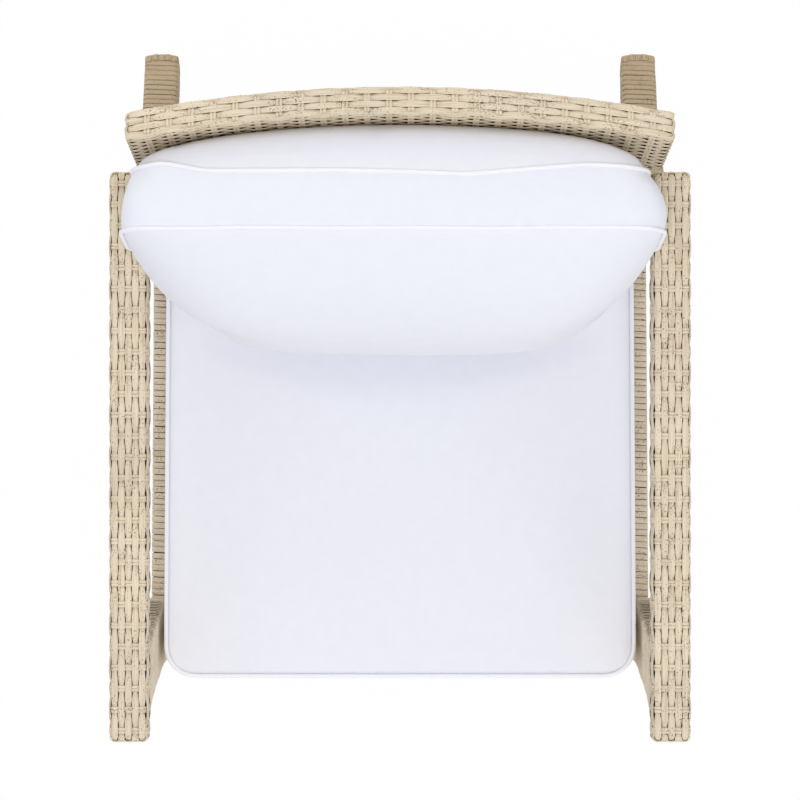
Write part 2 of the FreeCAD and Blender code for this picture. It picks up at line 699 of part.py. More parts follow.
def back_cushion():
    form = back_cushion_form("back_cover_form", "0")
    cover = cut("back_cover", form, back_cushion_form("back_cover_hollow", "cover_wall"))
    keep("back_cushion_cover", tilted(cover, ON_BACK))
    foam = back_cushion_form("back_fill_form", "(cover_wall + rest_gap)")
    keep("back_cushion_filling", tilted(foam, ON_BACK))
    x = (f"-{BACK_CUSHION_HALF} + 70", f"{BACK_CUSHION_HALF} - 70")
    for node, low, high in (
        ("back_cushion_piping_front", "-back_cushion_edge", "-back_cushion_edge + piping"),
        ("back_cushion_piping_rear", "-back_cushion_edge + gusset - piping", "-back_cushion_edge + gusset"),
    ):
        cord = block(
            f"{node}_block",
            x,
            (low, high),
            ("back_cushion_rise + rest_gap", "back_cushion_rise + rest_gap + piping"),
        )
        keep(node, tilted(group(f"{node}_run", cord), ON_BACK))
    z = (f"-{CUSHION_DROP} + 6", f"-{CUSHION_DROP} + 6 + zip_width")
    x = (f"-{BACK_CUSHION_LOW} + zip_inset", f"{BACK_CUSHION_LOW} - zip_inset")
    tape = bowed_slab("back_zip_tape", x, z, "(-rest_gap - zip_thick)", "(-rest_gap)")
    keep("back_cushion_zip", tilted(tape, ON_BACK))


# ---------------------------------------------------------------- build and write

for word, side in SIDES:
    arm(word, side)
    front_leg(word, side)
    back_leg(word, side)
    side_rail(word, side)
    glide(f"front_glide_{word}", front_glide_place(side))
    glide(f"back_glide_{word}", back_glide_place(side))
cross_rails()
webbing()
backrest()
seat_cushion()
back_cushion()
doc.recompute()

for item in doc.Objects:
    if {"Invalid", "Error"} & set(item.State):
        raise RuntimeError(f"{item.Name} did not build: {item.State}")
for node, item in nodes.items():
    if item.Shape.isNull() or not item.Shape.isValid() or not item.Shape.Solids:
        raise RuntimeError(f"{node} has no valid solid")

os.makedirs("parts", exist_ok=True)
for node, item in nodes.items():
    item.Shape.exportStep(f"parts/{node}.step")
    box = item.Shape.BoundBox
    sides = [f"{low:.1f}..{high:.1f}" for low, high in (
        (box.XMin, box.XMax),
        (box.YMin, box.YMax),
        (box.ZMin, box.ZMax),
    )]
    print(f"{node}: {len(item.Shape.Solids)} solid(s), {item.Shape.Volume / 1000:.1f} cm3, box {sides}")
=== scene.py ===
"""A woven outdoor lounge chair, dressed round its built frame: weave, padded cushions, floor and light."""
import json
import math

import bmesh
import bpy
import numpy as np
from bpy.props import FloatProperty, FloatVectorProperty, IntProperty, PointerProperty
from bpy.types import Operator, Panel, PropertyGroup
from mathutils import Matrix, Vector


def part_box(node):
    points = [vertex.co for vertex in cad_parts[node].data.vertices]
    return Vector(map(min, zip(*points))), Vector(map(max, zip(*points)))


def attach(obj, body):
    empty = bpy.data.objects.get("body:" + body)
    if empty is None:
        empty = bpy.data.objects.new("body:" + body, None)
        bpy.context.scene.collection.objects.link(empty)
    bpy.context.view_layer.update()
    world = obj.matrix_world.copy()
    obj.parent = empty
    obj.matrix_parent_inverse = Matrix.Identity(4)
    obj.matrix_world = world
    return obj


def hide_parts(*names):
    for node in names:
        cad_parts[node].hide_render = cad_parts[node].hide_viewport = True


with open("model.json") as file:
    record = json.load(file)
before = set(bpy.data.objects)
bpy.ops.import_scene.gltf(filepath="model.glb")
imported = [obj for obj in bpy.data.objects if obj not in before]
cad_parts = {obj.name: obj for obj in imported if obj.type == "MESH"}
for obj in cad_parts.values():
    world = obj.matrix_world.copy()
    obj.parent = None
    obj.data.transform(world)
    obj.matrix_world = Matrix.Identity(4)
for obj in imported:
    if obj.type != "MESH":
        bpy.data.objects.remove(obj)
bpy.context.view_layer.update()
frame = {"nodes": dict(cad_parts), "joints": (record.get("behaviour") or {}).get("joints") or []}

bl_info = {
    "name": "Woven lounge chair",
    "version": (1, 0, 0),
    "blender": (4, 5, 0),
    "location": "View3D > Sidebar > Chair",
    "description": "Dresses the lounge chair's frame in woven strand and padded cushions",
    "category": "Add Mesh",
}

SIDES = (("left", -1), ("right", 1))

# Where the frame's own sizes say the seat and the backrest pivot, in metres.
SEAT_PIVOT = np.array((0.0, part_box("front_leg_weave_left")[1].y, 0.300))
BACK_PIVOT = np.array((0.0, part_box("arm_weave_left")[1].y + 0.004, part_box("arm_weave_left")[1].z))
JOINTS = {joint["name"]: np.array(joint["axis"], float) for joint in frame["joints"]}
ALONG_SEAT = -JOINTS["seat_cushion_lift"]
OFF_SEAT = np.cross((1.0, 0.0, 0.0), ALONG_SEAT)
UP_BACK = JOINTS["back_cushion_lift"]
OFF_BACK = np.cross(UP_BACK, (1.0, 0.0, 0.0))
ACROSS = np.array((1.0, 0.0, 0.0))

# The backrest: up and down from its pivot, its bow, and its halves above and below the arms.
BACK_RISE = 0.202
BACK_DROP = 0.3672
BACK_THICK = 0.034
BACK_BOW = 0.033
BACK_HALF = 0.337
BACK_LOW_HALF = 0.3247
BACK_SHOULDER = 0.008
BOW_RADIUS = (BACK_HALF**2 + BACK_BOW**2) / (2 * BACK_BOW)
# The back leg: its depth, the angle that its bend sweeps, and the height where the bend's upper side ends.
SABRE_DEPTH = 0.050
SABRE_SWEEP = math.radians(68)
SABRE_END = 0.035


def screen_colour(red, green, blue):
    """A colour given as 0 to 255 on a screen, as the linear values that a shader takes."""
    linear = []
    for value in (red, green, blue):
        part = value / 255
        linear.append(part / 12.92 if part <= 0.04045 else ((part + 0.055) / 1.055) ** 2.4)
    return (*linear, 1.0)


# ---------------------------------------------------------------- sizes and colours a user would change

def length_setting(name, default, description):
    """A size in metres that a user may change."""
    return FloatProperty(name=name, description=description, default=default, unit="LENGTH")


def colour_setting(name, default, description):
    """A colour, given as on a screen, that a user may change."""
    shown = {"name": name, "description": description, "default": screen_colour(*default)}
    return FloatVectorProperty(subtype="COLOR", size=4, **shown)


class ChairWeave(PropertyGroup):
    """The basket weave on the arms and the backrest."""

    strand_width: length_setting("Strand width", 0.0092, "Width of a lengthwise strand")
    strand_thick: length_setting("Strand thickness", 0.0011, "Thickness of a strand")
    pair_pitch: length_setting("Pair pitch", 0.0271, "From one crossing pair to the next")
    pair_width: length_setting("Pair strand width", 0.0042, "Width of one strand of a crossing pair")
    lift: length_setting("Lift", 0.00095, "How far a strand rises over and dips under")


class ChairWinding(PropertyGroup):
    """The strand wound close round the legs and the rails."""

    leg_pitch: length_setting("Leg pitch", 0.0084, "One turn to the next on a front leg")
    back_leg_pitch: length_setting("Back leg pitch", 0.0092, "One turn to the next on a back leg")
    rail_pitch: length_setting("Rail pitch", 0.0084, "One turn to the next on a rail")
    cover: FloatProperty(
        name="Cover", description="Share of the pitch that the strand covers", default=0.94, subtype="FACTOR"
    )


class ChairCushions(PropertyGroup):
    """The two padded cushions."""

    seat_crown: length_setting("Seat crown", 0.012, "Rise of the seat cushion's top in its middle")
    piping_radius: length_setting("Piping radius", 0.0028, "Radius of the piping cord")
    pressure: FloatProperty(
        name="Filling pressure", description="How hard the filling pushes the cover out", default=4.0
    )
    settle_frames: IntProperty(
        name="Settling frames", description="Steps the cover takes to settle", default=20
    )


class ChairColours(PropertyGroup):
    """The colours of the chair's finishes."""

    strand_pale: colour_setting("Pale strand", (235, 220, 194), "Whitewashed face of the strand")
    strand_streak: colour_setting("Strand streak", (196, 170, 132), "Brown streaks along the strand")
    strand_deep: colour_setting("Strand specks", (92, 66, 40), "Dark specks of the strand")
    cloth: colour_setting("Cushion cloth", (238, 239, 246), "White cushion cloth")
    # Brighter than the cushion cloth, though it is the same cloth: a painted highlight on the piping cords.
    piping: colour_setting("Piping cloth", (247, 247, 251), "White cloth round the piping cord")
    powder_coat: colour_setting("Powder coat", (62, 40, 22), "Coating of the frame tubes")


# ---------------------------------------------------------------- meshes

def new_piece(name, vertices, loops, sizes, finish, across=None, tone=None):
    """A mesh object from flat arrays: vertex places, face corners and corners per face."""
    mesh = bpy.data.meshes.new(name)
    mesh.vertices.add(len(vertices))
    mesh.vertices.foreach_set("co", np.ascontiguousarray(vertices, np.float32).ravel())
    mesh.loops.add(len(loops))
    mesh.loops.foreach_set("vertex_index", np.ascontiguousarray(loops, np.int32))
    mesh.polygons.add(len(sizes))
    starts = np.concatenate(([0], np.cumsum(sizes)[:-1]))
    mesh.polygons.foreach_set("loop_start", np.ascontiguousarray(starts, np.int32))
    mesh.update(calc_edges=True)
    mesh.polygons.foreach_set("use_smooth", np.ones(len(sizes), bool))
    if across is not None:
        layer = mesh.uv_layers.new(name="strand")
        layer.data.foreach_set("uv", np.ascontiguousarray(across, np.float32).ravel())
    if tone is not None:
        layer = mesh.attributes.new("tone", "FLOAT", "POINT")
        layer.data.foreach_set("value", np.ascontiguousarray(tone, np.float32))
    mesh.materials.append(finish)
    mesh.validate()
    piece = bpy.data.objects.new(name, mesh)
    bpy.context.scene.collection.objects.link(piece)
    return piece


def unit(vectors):
    """Vectors of length one in the same directions."""
    return vectors / np.maximum(np.linalg.norm(vectors, axis=-1, keepdims=True), 1e-12)


FLAT_STRAND = np.array(((-1, -0.1), (-0.90, 0.75), (0, 1), (0.90, 0.75), (1, -0.1), (0, -0.8)))
NARROW_STRAND = np.array(((-1, -0.1), (-0.80, 0.95), (0.80, 0.95), (1, -0.1), (0, -0.8)))


DRIFT_LENGTHS = (0.017, 0.031, 0.073)
CLOSED_DRIFT = 0.022
OPEN_DRIFT = 0.008
ANY_PHASE = 6.28


class Strands:
    """Flat strands laid along paths, gathered into one mesh."""

    def __init__(self, section, seed):
        self.section = section
        self.random = np.random.default_rng(seed)
        self.vertices, self.loops, self.sizes, self.across, self.tone = [], [], [], [], []
        self.count = 0

    def lay(self, points, normals, half_width, half_thick, closed=True, tone=None):
        """Add one strand along points, with its face along normals; a closed one joins its own start."""
        steps = np.roll(points, -1, axis=0) - np.roll(points, 1, axis=0)
        if not closed:
            steps[0] = points[1] - points[0]
            steps[-1] = points[-1] - points[-2]
        along = unit(steps)
        side = unit(np.cross(along, normals))
        out = np.cross(side, along)
        corners = len(self.section)
        gaps = np.linalg.norm(np.roll(points, -1, axis=0) - points, axis=1)
        run = np.concatenate(([0.0], np.cumsum(gaps))) + self.random.uniform(0, 50)
        wide = (half_width * self.uneven(run[:-1], closed))[:, None]
        u, v = self.section[:, 0], self.section[:, 1]
        spread = side[:, None] * (wide * u)[..., None]
        ring = points[:, None] + spread + out[:, None] * (v * half_thick)[None, :, None]
        rows = len(points)
        this = np.arange(rows if closed else rows - 1)
        following = (this + 1) % rows
        j = np.arange(corners)
        k = (j + 1) % corners
        quads = np.stack(np.broadcast_arrays(
            this[:, None] * corners + j,
            this[:, None] * corners + k,
            following[:, None] * corners + k,
            following[:, None] * corners + j,
        ), axis=-1).reshape(-1, 4)
        here = np.broadcast_to(run[this][:, None], (len(this), corners))
        there = np.broadcast_to(run[this + 1][:, None], (len(this), corners))
        wide_here, wide_there = wide[this] * u, wide[following] * u
        uv = np.stack((
            np.stack((wide_here[:, j], here), -1),
            np.stack((wide_here[:, k], here), -1),
            np.stack((wide_there[:, k], there), -1),
            np.stack((wide_there[:, j], there), -1),
        ), axis=2).reshape(-1, 2)
        self.vertices.append(ring.reshape(-1, 3))
        self.loops.append((quads + self.count).ravel())
        self.sizes.append(np.full(len(quads), 4))
        self.across.append(uv)
        if not closed:
            for cap, end in ((j[::-1], 0), (j, rows - 1)):
                self.loops.append(cap + end * corners + self.count)
                self.sizes.append(np.array((corners,)))
                self.across.append(np.stack((wide[end] * u[cap], np.full(corners, run[end])), -1))
        if tone is None:
            tone = self.random.normal(0, 1)
        self.tone.append(np.repeat(np.broadcast_to(tone, rows), corners))
        self.count += rows * corners

    def uneven(self, run, closed):
        """How a strand's width drifts along its run."""
        drift = np.zeros(len(run))
        for length in DRIFT_LENGTHS:
            drift += np.sin(run * 2 * math.pi / length + self.random.uniform(0, ANY_PHASE))
        return 1 + (CLOSED_DRIFT if closed else OPEN_DRIFT) * drift

    def build(self, name, finish):
        """One mesh object from all the strands laid so far."""
        return new_piece(
            name,
            np.concatenate(self.vertices),
            np.concatenate(self.loops),
            np.concatenate(self.sizes),
            finish,
            np.concatenate(self.across),
            np.concatenate(self.tone),
        )


class Loop:
    """A closed flat path: a polygon with rounded corners, anticlockwise."""

    def __init__(self, corners, radii, steps=5):
        corners = np.array(corners, float)
        radii = np.broadcast_to(radii, len(corners))
        points, normals = [], []
        for k, at in enumerate(corners):
            into = unit(at - corners[k - 1])
            out = unit(corners[(k + 1) % len(corners)] - at)
            turn = math.atan2(into[0] * out[1] - into[1] * out[0], into @ out)
            sign = math.copysign(1, turn)
            square = np.array((into[1], -into[0]))
            middle = at - into * radii[k] * math.tan(abs(turn) / 2) - sign * radii[k] * square
            for part in np.linspace(0, turn, steps + 1):
                normal = np.array((
                    square[0] * math.cos(part) - square[1] * math.sin(part),
                    square[0] * math.sin(part) + square[1] * math.cos(part),
                ))
                points.append(middle + sign * radii[k] * normal)
                normals.append(normal)
        points.append(points[0])
        normals.append(normals[0])
        self.points, self.normals = np.array(points), np.array(normals)
        self.run = np.concatenate(([0.0], np.cumsum(np.linalg.norm(np.diff(self.points, axis=0), axis=1))))
        self.length = self.run[-1]

    def at(self, run):
        """Points and outward normals at lengths along the loop."""
        run = np.mod(run, self.length)
        points = np.stack([np.interp(run, self.run, self.points[:, k]) for k in (0, 1)], -1)
        normals = np.stack([np.interp(run, self.run, self.normals[:, k]) for k in (0, 1)], -1)
        return points, unit(normals)

    def nearest(self, targets, spacing=0.0004):
        """Lengths along the loop of the points nearest to the targets."""
        dense = np.linspace(0, self.length, int(self.length / spacing), endpoint=False)
        points = self.at(dense)[0]
        return np.array([dense[np.argmin(np.sum((points - target) ** 2, axis=1))] for target in targets])

    def even(self, spacing):
        """Lengths along the loop: every rounded corner's points, and the straights cut to a spacing."""
        runs = []
        for low, high in zip(self.run[:-1], self.run[1:]):
            cuts = max(1, round((high - low) / spacing))
            runs.extend(low + (high - low) * np.arange(cuts) / cuts)
        return np.array(runs)


STATION_JITTER = 0.0008
SHORTEST_STEP = 0.0006
FLATNESS = 2.2
SQUEEZE = 0.24


def weave_along(loop, stations, sign, lift, steps):
    """Points, normals and relative width of a strand that goes over and under at its stations."""
    count = len(stations)
    turns = np.unwrap(np.array(stations), period=loop.length)
    # No crossing is quite in its place.
    turns = turns + np.sin(turns * 731.0 + count + 40 * turns[1]) * STATION_JITTER
    run = np.concatenate(([turns[-1] - loop.length], turns, [turns[0] + loop.length]))
    phase = np.arange(-1, count + 1) * math.pi
    samples = np.interp(np.arange(count * steps) * math.pi / steps, phase, run)
    bends = turns[0] + np.mod(loop.even(1.0) - turns[0], loop.length)
    samples = np.sort(np.concatenate((samples, bends)))
    samples = samples[np.diff(np.append(samples, samples[0] + loop.length)) > SHORTEST_STEP]
    wave = np.cos(np.interp(samples, run, phase))
    rise = sign * lift * np.tanh(FLATNESS * wave) / math.tanh(FLATNESS)
    points, normals = loop.at(samples)
    return points + normals * rise[:, None], normals, 1 - SQUEEZE * np.clip(0.15 - rise / lift, 0, 1)


def skin(name, rings, finish):
    """A closed tube through rings of points, with its ends filled."""
    rows, around = rings.shape[:2]
    i, j = np.meshgrid(np.arange(rows - 1), np.arange(around), indexing="ij")
    k = (j + 1) % around
    quads = np.stack((i * around + j, i * around + k, (i + 1) * around + k, (i + 1) * around + j), -1)
    caps = np.arange(around)[::-1], (rows - 1) * around + np.arange(around)
    loops = np.concatenate((quads.reshape(-1), *caps))
    sizes = np.concatenate((np.full((rows - 1) * around, 4), (around, around)))
    piece = new_piece(name, rings.reshape(-1, 3), loops, sizes, finish)
    face_out(piece)
    return piece


def face_out(piece):
    """Turn every face of a closed mesh outwards."""
    work = bmesh.new()
    work.from_mesh(piece.data)
    bmesh.ops.recalc_face_normals(work, faces=work.faces)
    work.to_mesh(piece.data)
    work.free()


def worn_by(piece, body, slot, *nodes):
    """The piece rides on a body and stands for the frame's own solids, which it hides; the finish slot is not
    used.
    """
    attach(piece, body)
    if nodes:
        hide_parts(*nodes)
    return piece


# ---------------------------------------------------------------- finishes

class Finish:
    """A node material under construction, with its Principled shader ready."""

    def __init__(self, name, colour, roughness):
        self.material = bpy.data.materials.new(name)
        self.material.use_nodes = True
        self.tree = self.material.node_tree
        self.shader = self.tree.nodes["Principled BSDF"]
        self.set(self.shader, "Base Color", colour)
        self.set(self.shader, "Roughness", roughness)

    def set(self, node, socket, value):
        """Give a node's input a plain value or the output of another node."""
        if isinstance(value, bpy.types.NodeSocket):
            self.tree.links.new(value, node.inputs[socket])
        else:
            node.inputs[socket].default_value = value

    def node(self, kind, inputs=None, **settings):
        made = self.tree.nodes.new(kind)
        for key, value in settings.items():
            setattr(made, key, value)
        for key, value in (inputs or {}).items():
            self.set(made, key, value)
        return made

    def wire(self, source, socket):
        self.tree.links.new(source, self.shader.inputs[socket])

    def scaled(self, source, scale):
        return self.node("ShaderNodeMapping", {"Vector": source, "Scale": scale}).outputs["Vector"]

    def noise(self, vector, scale, detail=2.0, roughness=0.5):
        inputs = {"Vector": vector, "Scale": scale, "Detail": detail, "Roughness": roughness}
        return self.node("ShaderNodeTexNoise", inputs).outputs["Fac"]

    def ramp(self, source, *stops):
        made = self.node("ShaderNodeValToRGB", {"Fac": source})
        elements = made.color_ramp.elements
        while len(elements) < len(stops):
            elements.new(0.5)
        for element, (at, colour) in zip(elements, stops):
            element.position = at
            element.color = colour
        return made.outputs["Color"]

    def blend(self, how, factor, first, second):
        inputs = {0: factor, 6: first, 7: second}
        return self.node("ShaderNodeMix", inputs, data_type="RGBA", blend_type=how).outputs[2]

    def sum(self, how, first, second):
        made = self.node("ShaderNodeMath", {0: first, 1: second}, operation=how)
        return made.outputs["Value"]

    def between(self, source, low, high, first=0.0, last=1.0):
        """A value stretched so that low to high becomes first to last."""
        inputs = {"Value": source, "From Min": low, "From Max": high, "To Min": first, "To Max": last}
        return self.node("ShaderNodeMapRange", inputs).outputs["Result"]

    def shaded(self, colour, shade):
        """A colour made darker by a shade from zero to one."""
        grey = self.node("ShaderNodeCombineColor", {channel: shade for channel in (0, 1, 2)})
        return self.blend("MULTIPLY", 1.0, colour, grey.outputs["Color"])

    def bump(self, height, depth, strength=0.6):
        made = self.node("ShaderNodeBump", {"Height": height, "Distance": depth, "Strength": strength})
        self.wire(made.outputs["Normal"], "Normal")


def strand_finish(name, pale, streak, deep):
    """Flat extruded strand: whitewashed, with fine brown streaks along it and dark specks."""
    finish = Finish(name, pale, 0.62)
    strand = finish.node("ShaderNodeUVMap", uv_map="strand").outputs["UV"]
    place = finish.node("ShaderNodeTexCoord").outputs["Object"]
    fine = finish.noise(finish.scaled(strand, (1300, 26, 1)), 1.0, 3.0, 0.62)
    broad = finish.noise(finish.scaled(strand, (380, 9, 1)), 1.0, 2.0)
    streaks = finish.ramp(fine, (0.33, streak), (0.50, pale))
    patches = finish.ramp(broad, (0.32, streak), (0.52, pale))
    colour = finish.blend("MIX", 0.42, streaks, patches)
    specks = finish.noise(finish.scaled(strand, (720, 330, 1)), 1.0, 1.0)
    specks = finish.sum("ADD", specks, finish.sum("MULTIPLY", finish.noise(place, 45.0, 1.0), 0.35))
    colour = finish.blend("MIX", finish.between(specks, 0.82, 0.88, 0.0, 0.85), colour, deep)
    tone = finish.node("ShaderNodeAttribute", attribute_name="tone").outputs["Fac"]
    patch = finish.noise(place, 9.0, 2.0)
    drift = finish.sum("ADD", finish.sum("MULTIPLY", tone, 0.05), patch)
    finish.wire(finish.shaded(colour, finish.between(drift, 0.3, 0.7, 0.90, 1.0)), "Base Color")
    finish.wire(finish.between(fine, 0.0, 1.0, 0.72, 0.50), "Roughness")
    finish.bump(fine, 0.00035, 0.7)
    return finish.material


def cloth_finish(name, colour, pitch, sheen):
    """Close plain-woven outdoor cloth."""
    finish = Finish(name, colour, 0.85)
    finish.set(finish.shader, "Sheen Weight", sheen)
    finish.set(finish.shader, "Specular IOR Level", 0.25)
    place = finish.node("ShaderNodeTexCoord").outputs["Object"]
    threads = None
    rows = {"Vector": place, "Scale": 1 / (pitch * 2 * math.pi), "Distortion": 0.6}
    rows.update({"Detail": 1.0, "Detail Scale": 2.0})
    for axis in ("X", "Y", "Z"):
        wave = finish.node("ShaderNodeTexWave", rows, bands_direction=axis).outputs["Fac"]
        threads = wave if threads is None else finish.sum("ADD", threads, wave)
    slub = finish.noise(place, 60.0, 3.0)
    finish.wire(finish.shaded(colour, finish.between(slub, 0.3, 0.7, 0.982, 1.0)), "Base Color")
    finish.bump(finish.sum("ADD", threads, finish.sum("MULTIPLY", slub, 2.0)), 0.00009, 0.35)
    return finish.material


def coated_finish(name, colour, roughness, metallic=0.0, grain=900.0, depth=0.00006, shine=0.5):
    """Powder coat, moulded plastic or brushed metal, by its grain."""
    finish = Finish(name, colour, roughness)
    finish.set(finish.shader, "Metallic", metallic)
    finish.set(finish.shader, "Specular IOR Level", shine)
    place = finish.node("ShaderNodeTexCoord").outputs["Object"]
    grains = finish.noise(place, grain, 2.0)
    dark = tuple(0.8 * part for part in colour[:3]) + (1.0,)
    finish.wire(finish.ramp(grains, (0.3, dark), (0.65, colour)), "Base Color")
    finish.wire(finish.between(grains, 0.0, 1.0, roughness * 0.85, min(1.0, roughness * 1.2)), "Roughness")
    finish.bump(grains, depth, 0.5)
    return finish.material


def finish_named(name, maker, *values, **named):
    """The finish of that name, made the first time it is asked for."""
    return bpy.data.materials.get(name) or maker(name, *values, **named)


def pale_strand(context):
    colours = context.scene.chair_colours
    shades = (colours.strand_pale[:], colours.strand_streak[:], colours.strand_deep[:])
    return finish_named("pale_strand", strand_finish, *shades)


def strand_with_painted_shade(context):
    """The pale strand's colours made darker, the blue most, for the strand wound round the back legs: painted
    shade.
    """
    colours = context.scene.chair_colours
    # These shares scale the pale strand down to paint the back legs' shade.
    tan = (0.70, 0.63, 0.53)
    pale = tuple(part * share for part, share in zip(colours.strand_pale, tan)) + (1.0,)
    streak = tuple(part * share for part, share in zip(colours.strand_streak, tan)) + (1.0,)
    return finish_named("wound_strand", strand_finish, pale, streak, colours.strand_deep[:])


def powder_coat(context):
    colours = context.scene.chair_colours
    return finish_named("powder_coat", coated_finish, colours.powder_coat[:], 0.6, shine=0.12)


# ---------------------------------------------------------------- arms

def oblong(half_wide, half_deep, radius):
    """A rectangle with rounded corners round the middle."""
    corners = ((-1, -1), (1, -1), (1, 1), (-1, 1))
    return Loop([(half_wide * x, half_deep * y) for x, y in corners], radius)


def crossed(low, high, radius, firsts, seconds):
    """A rectangular loop between two corners, and the stations where others cross it.

    They cross at firsts along its bottom and top, and at seconds along its sides.
    """
    (left, near), (right, far) = low, high
    loop = Loop([(left, near), (right, near), (right, far), (left, far)], radius)
    stations = loop.nearest(
        [(first, near) for first in firsts]
        + [(right, second) for second in seconds]
        + [(first, far) for first in firsts[::-1]]
        + [(left, second) for second in seconds[::-1]]
    )
    return loop, stations


def over_or_under(number):
    """One for a strand that starts over its first crossing, minus one for its neighbours."""
    return 1 if number % 2 == 0 else -1


def set_in(flat, axis, value):
    """Flat pairs set in space, with one value along the axis that they lack."""
    return np.insert(flat, axis, value, axis=1)


def weave_depths(weave):
    """Half a strand's thickness, and how deep its middle line lies below the weave's outer face."""
    thick = weave.strand_thick / 2
    return thick, thick + weave.lift * 0.8


PAIR_NUDGES = (-0.48, 0.48)
FACE_STRANDS = 5
ARM_EDGE = 0.0065
ARM_PAST = 0.004
ARM_LEAN = 0.30


def weave_arm(context, word):
    """One arm: five strands along each face, closed over both ends, crossed by pairs."""
    weave = context.scene.chair_weave
    low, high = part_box(f"arm_weave_{word}")
    high.y += ARM_PAST
    middle = np.array((low + high) / 2)
    thick, sink = weave_depths(weave)
    half = high.x - middle[0] - sink
    reach = high.y - middle[1] - sink
    ring = oblong(half, half, ARM_EDGE)
    first = ARM_EDGE * math.pi / 4
    spots = first + (np.arange(4 * FACE_STRANDS) + 0.5) * ring.length / (4 * FACE_STRANDS)
    offsets = ring.at(spots[:FACE_STRANDS])[0][:, 0]
    pairs = round(2 * reach / weave.pair_pitch)
    places = (np.arange(pairs) + 0.5) * 2 * reach / pairs - reach
    upright = crossed((-reach, -half), (reach, half), ARM_EDGE, places, offsets)
    level = crossed((-half, -reach), (half, reach), ARM_EDGE, offsets, places)
    strands = Strands(FLAT_STRAND, 11 if word == "left" else 12)
    for number, offset in enumerate(offsets):
        lean = ARM_LEAN * offset / half if number in (0, FACE_STRANDS - 1) else 0.0
        for axis, (loop, stations) in ((0, upright), (2, level)):
            flat, normals, narrow = weave_along(loop, stations, over_or_under(number), weave.lift, 4)
            points = middle + set_in(flat, axis, offset)
            facing = unit(set_in(normals, axis, lean))
            strands.lay(points, facing, weave.strand_width / 2 * narrow, thick)
    piece = strands.build(f"arm_strands_{word}", pale_strand(context))
    worn_by(piece, "frame", "strand_weave", f"arm_weave_{word}")
    crossing = Strands(NARROW_STRAND, 21 if word == "left" else 22)
    for number, place in enumerate(places):
        for nudge in PAIR_NUDGES:
            flat, normals, narrow = weave_along(ring, spots, -over_or_under(number), weave.lift, 4)
            points = middle + set_in(flat, 1, place + nudge * weave.pair_width)
            crossing.lay(points, set_in(normals, 1, 0.0), weave.pair_width / 2 * narrow, thick)
    piece = crossing.build(f"arm_pairs_{word}", pale_strand(context))
    worn_by(piece, "frame", "strand_weave")


class CHAIR_OT_arms(Operator):
    """Weave both arms"""

    bl_idname = "chair.arms"
    bl_label = "Arms"

    def execute(self, context):
        for word, _ in SIDES:
            weave_arm(context, word)
        return {"FINISHED"}


# ---------------------------------------------------------------- wound members

WOUND_HALF_THICK = 0.0006
PLACE_WANDER = 0.035
RISE_WANDER = 0.00012
WIDTH_WANDER = 0.02
TONE_WANDER = 1.2
# How deep the dark sheet of painted shade lies under a wound strand's face.
SHADE_LINING_INSET = 0.0026
WINDING_STEP = 0.011


def wind(strands, outline, place, length, pitch, cover, early=0.0, late=0.0):
    """Wind one strand round a member in a close helix, from early before its start to late past its end.

    place(s) gives, at each length s, the member's middle and the two axes of its section.
    """
    random = strands.random
    turns = int(round(length / pitch))
    runs = outline.even(WINDING_STEP) / outline.length
    fraction = np.concatenate([turn + runs for turn in range(turns)] + [np.array((float(turns),))])

    def wander(spread, about=0.0):
        return np.interp(fraction, np.arange(turns + 2), about + random.normal(0, spread, turns + 2))

    along = (fraction + wander(PLACE_WANDER)) * length / turns
    along = along * (length + early + late) / length - early
    along = np.clip(along, pitch * 0.4 - early, length + late - pitch * 0.4)
    flat, normals = outline.at(np.mod(fraction, 1.0) * outline.length)
    flat = flat + normals * (wander(RISE_WANDER) - WOUND_HALF_THICK)[:, None]
    middle, first, second = place(along)
    points = middle + first * flat[:, :1] + second * flat[:, 1:]
    facing = unit(unit(first) * normals[:, :1] + unit(second) * normals[:, 1:])
    width = wander(WIDTH_WANDER, 1.0) * pitch * cover / 2
    strands.lay(points, facing, width, WOUND_HALF_THICK, closed=False, tone=wander(TONE_WANDER))


def shade_lining(context, name, outline, place, length, rows):
    """A dark sheet in the frame's powder coat just under a wound strand: it stands for the frame there and
    paints the shade seen in the gaps between the turns.
    """
    flat, normals = outline.at(outline.even(0.02))
    flat = flat - normals * SHADE_LINING_INSET
    middle, first, second = place(np.linspace(SHADE_LINING_INSET, length - SHADE_LINING_INSET, rows))
    rings = middle[:, None] + first[:, None] * flat[None, :, :1] + second[:, None] * flat[None, :, 1:]
    piece = skin(name, rings, powder_coat(context))
    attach(piece, "frame")
    return piece


def wrap_member(context, names, seed, outline, place, length, pitch, cover, rows, late=0.0):
    """Wind a pale strand round a member, over a dark sheet that paints the shade between its turns.

    The names are the winding's, the shade lining's and that of the frame's own solid.
    """
    winding, shade_lining_piece, solid = names
    strands = Strands(FLAT_STRAND, seed)
    wind(strands, outline, place, length, pitch, cover, late=late)
    piece = strands.build(winding, pale_strand(context))
    worn_by(piece, "frame", "strand_weave", solid)
    # A dark sheet under the strand paints the shade in the gaps between its turns.
    shade_lining(context, shade_lining_piece, outline, place, length, rows)


def smooth_between(at, knots, values):
    """Values that pass through the knots with no kink."""
    knots, values = np.array(knots), np.array(values)
    slopes = np.gradient(values, knots)
    spot = np.clip(np.searchsorted(knots, at) - 1, 0, len(knots) - 2)
    span = knots[spot + 1] - knots[spot]
    t = np.clip((at - knots[spot]) / span, 0, 1)
    return (
        values[spot] * (2 * t**3 - 3 * t**2 + 1)
        + slopes[spot] * span * (t**3 - 2 * t**2 + t)
        + values[spot + 1] * (3 * t**2 - 2 * t**3)
        + slopes[spot + 1] * span * (t**3 - t**2)
    )


FRONT_LEG_HALF_DEPTH = 0.030


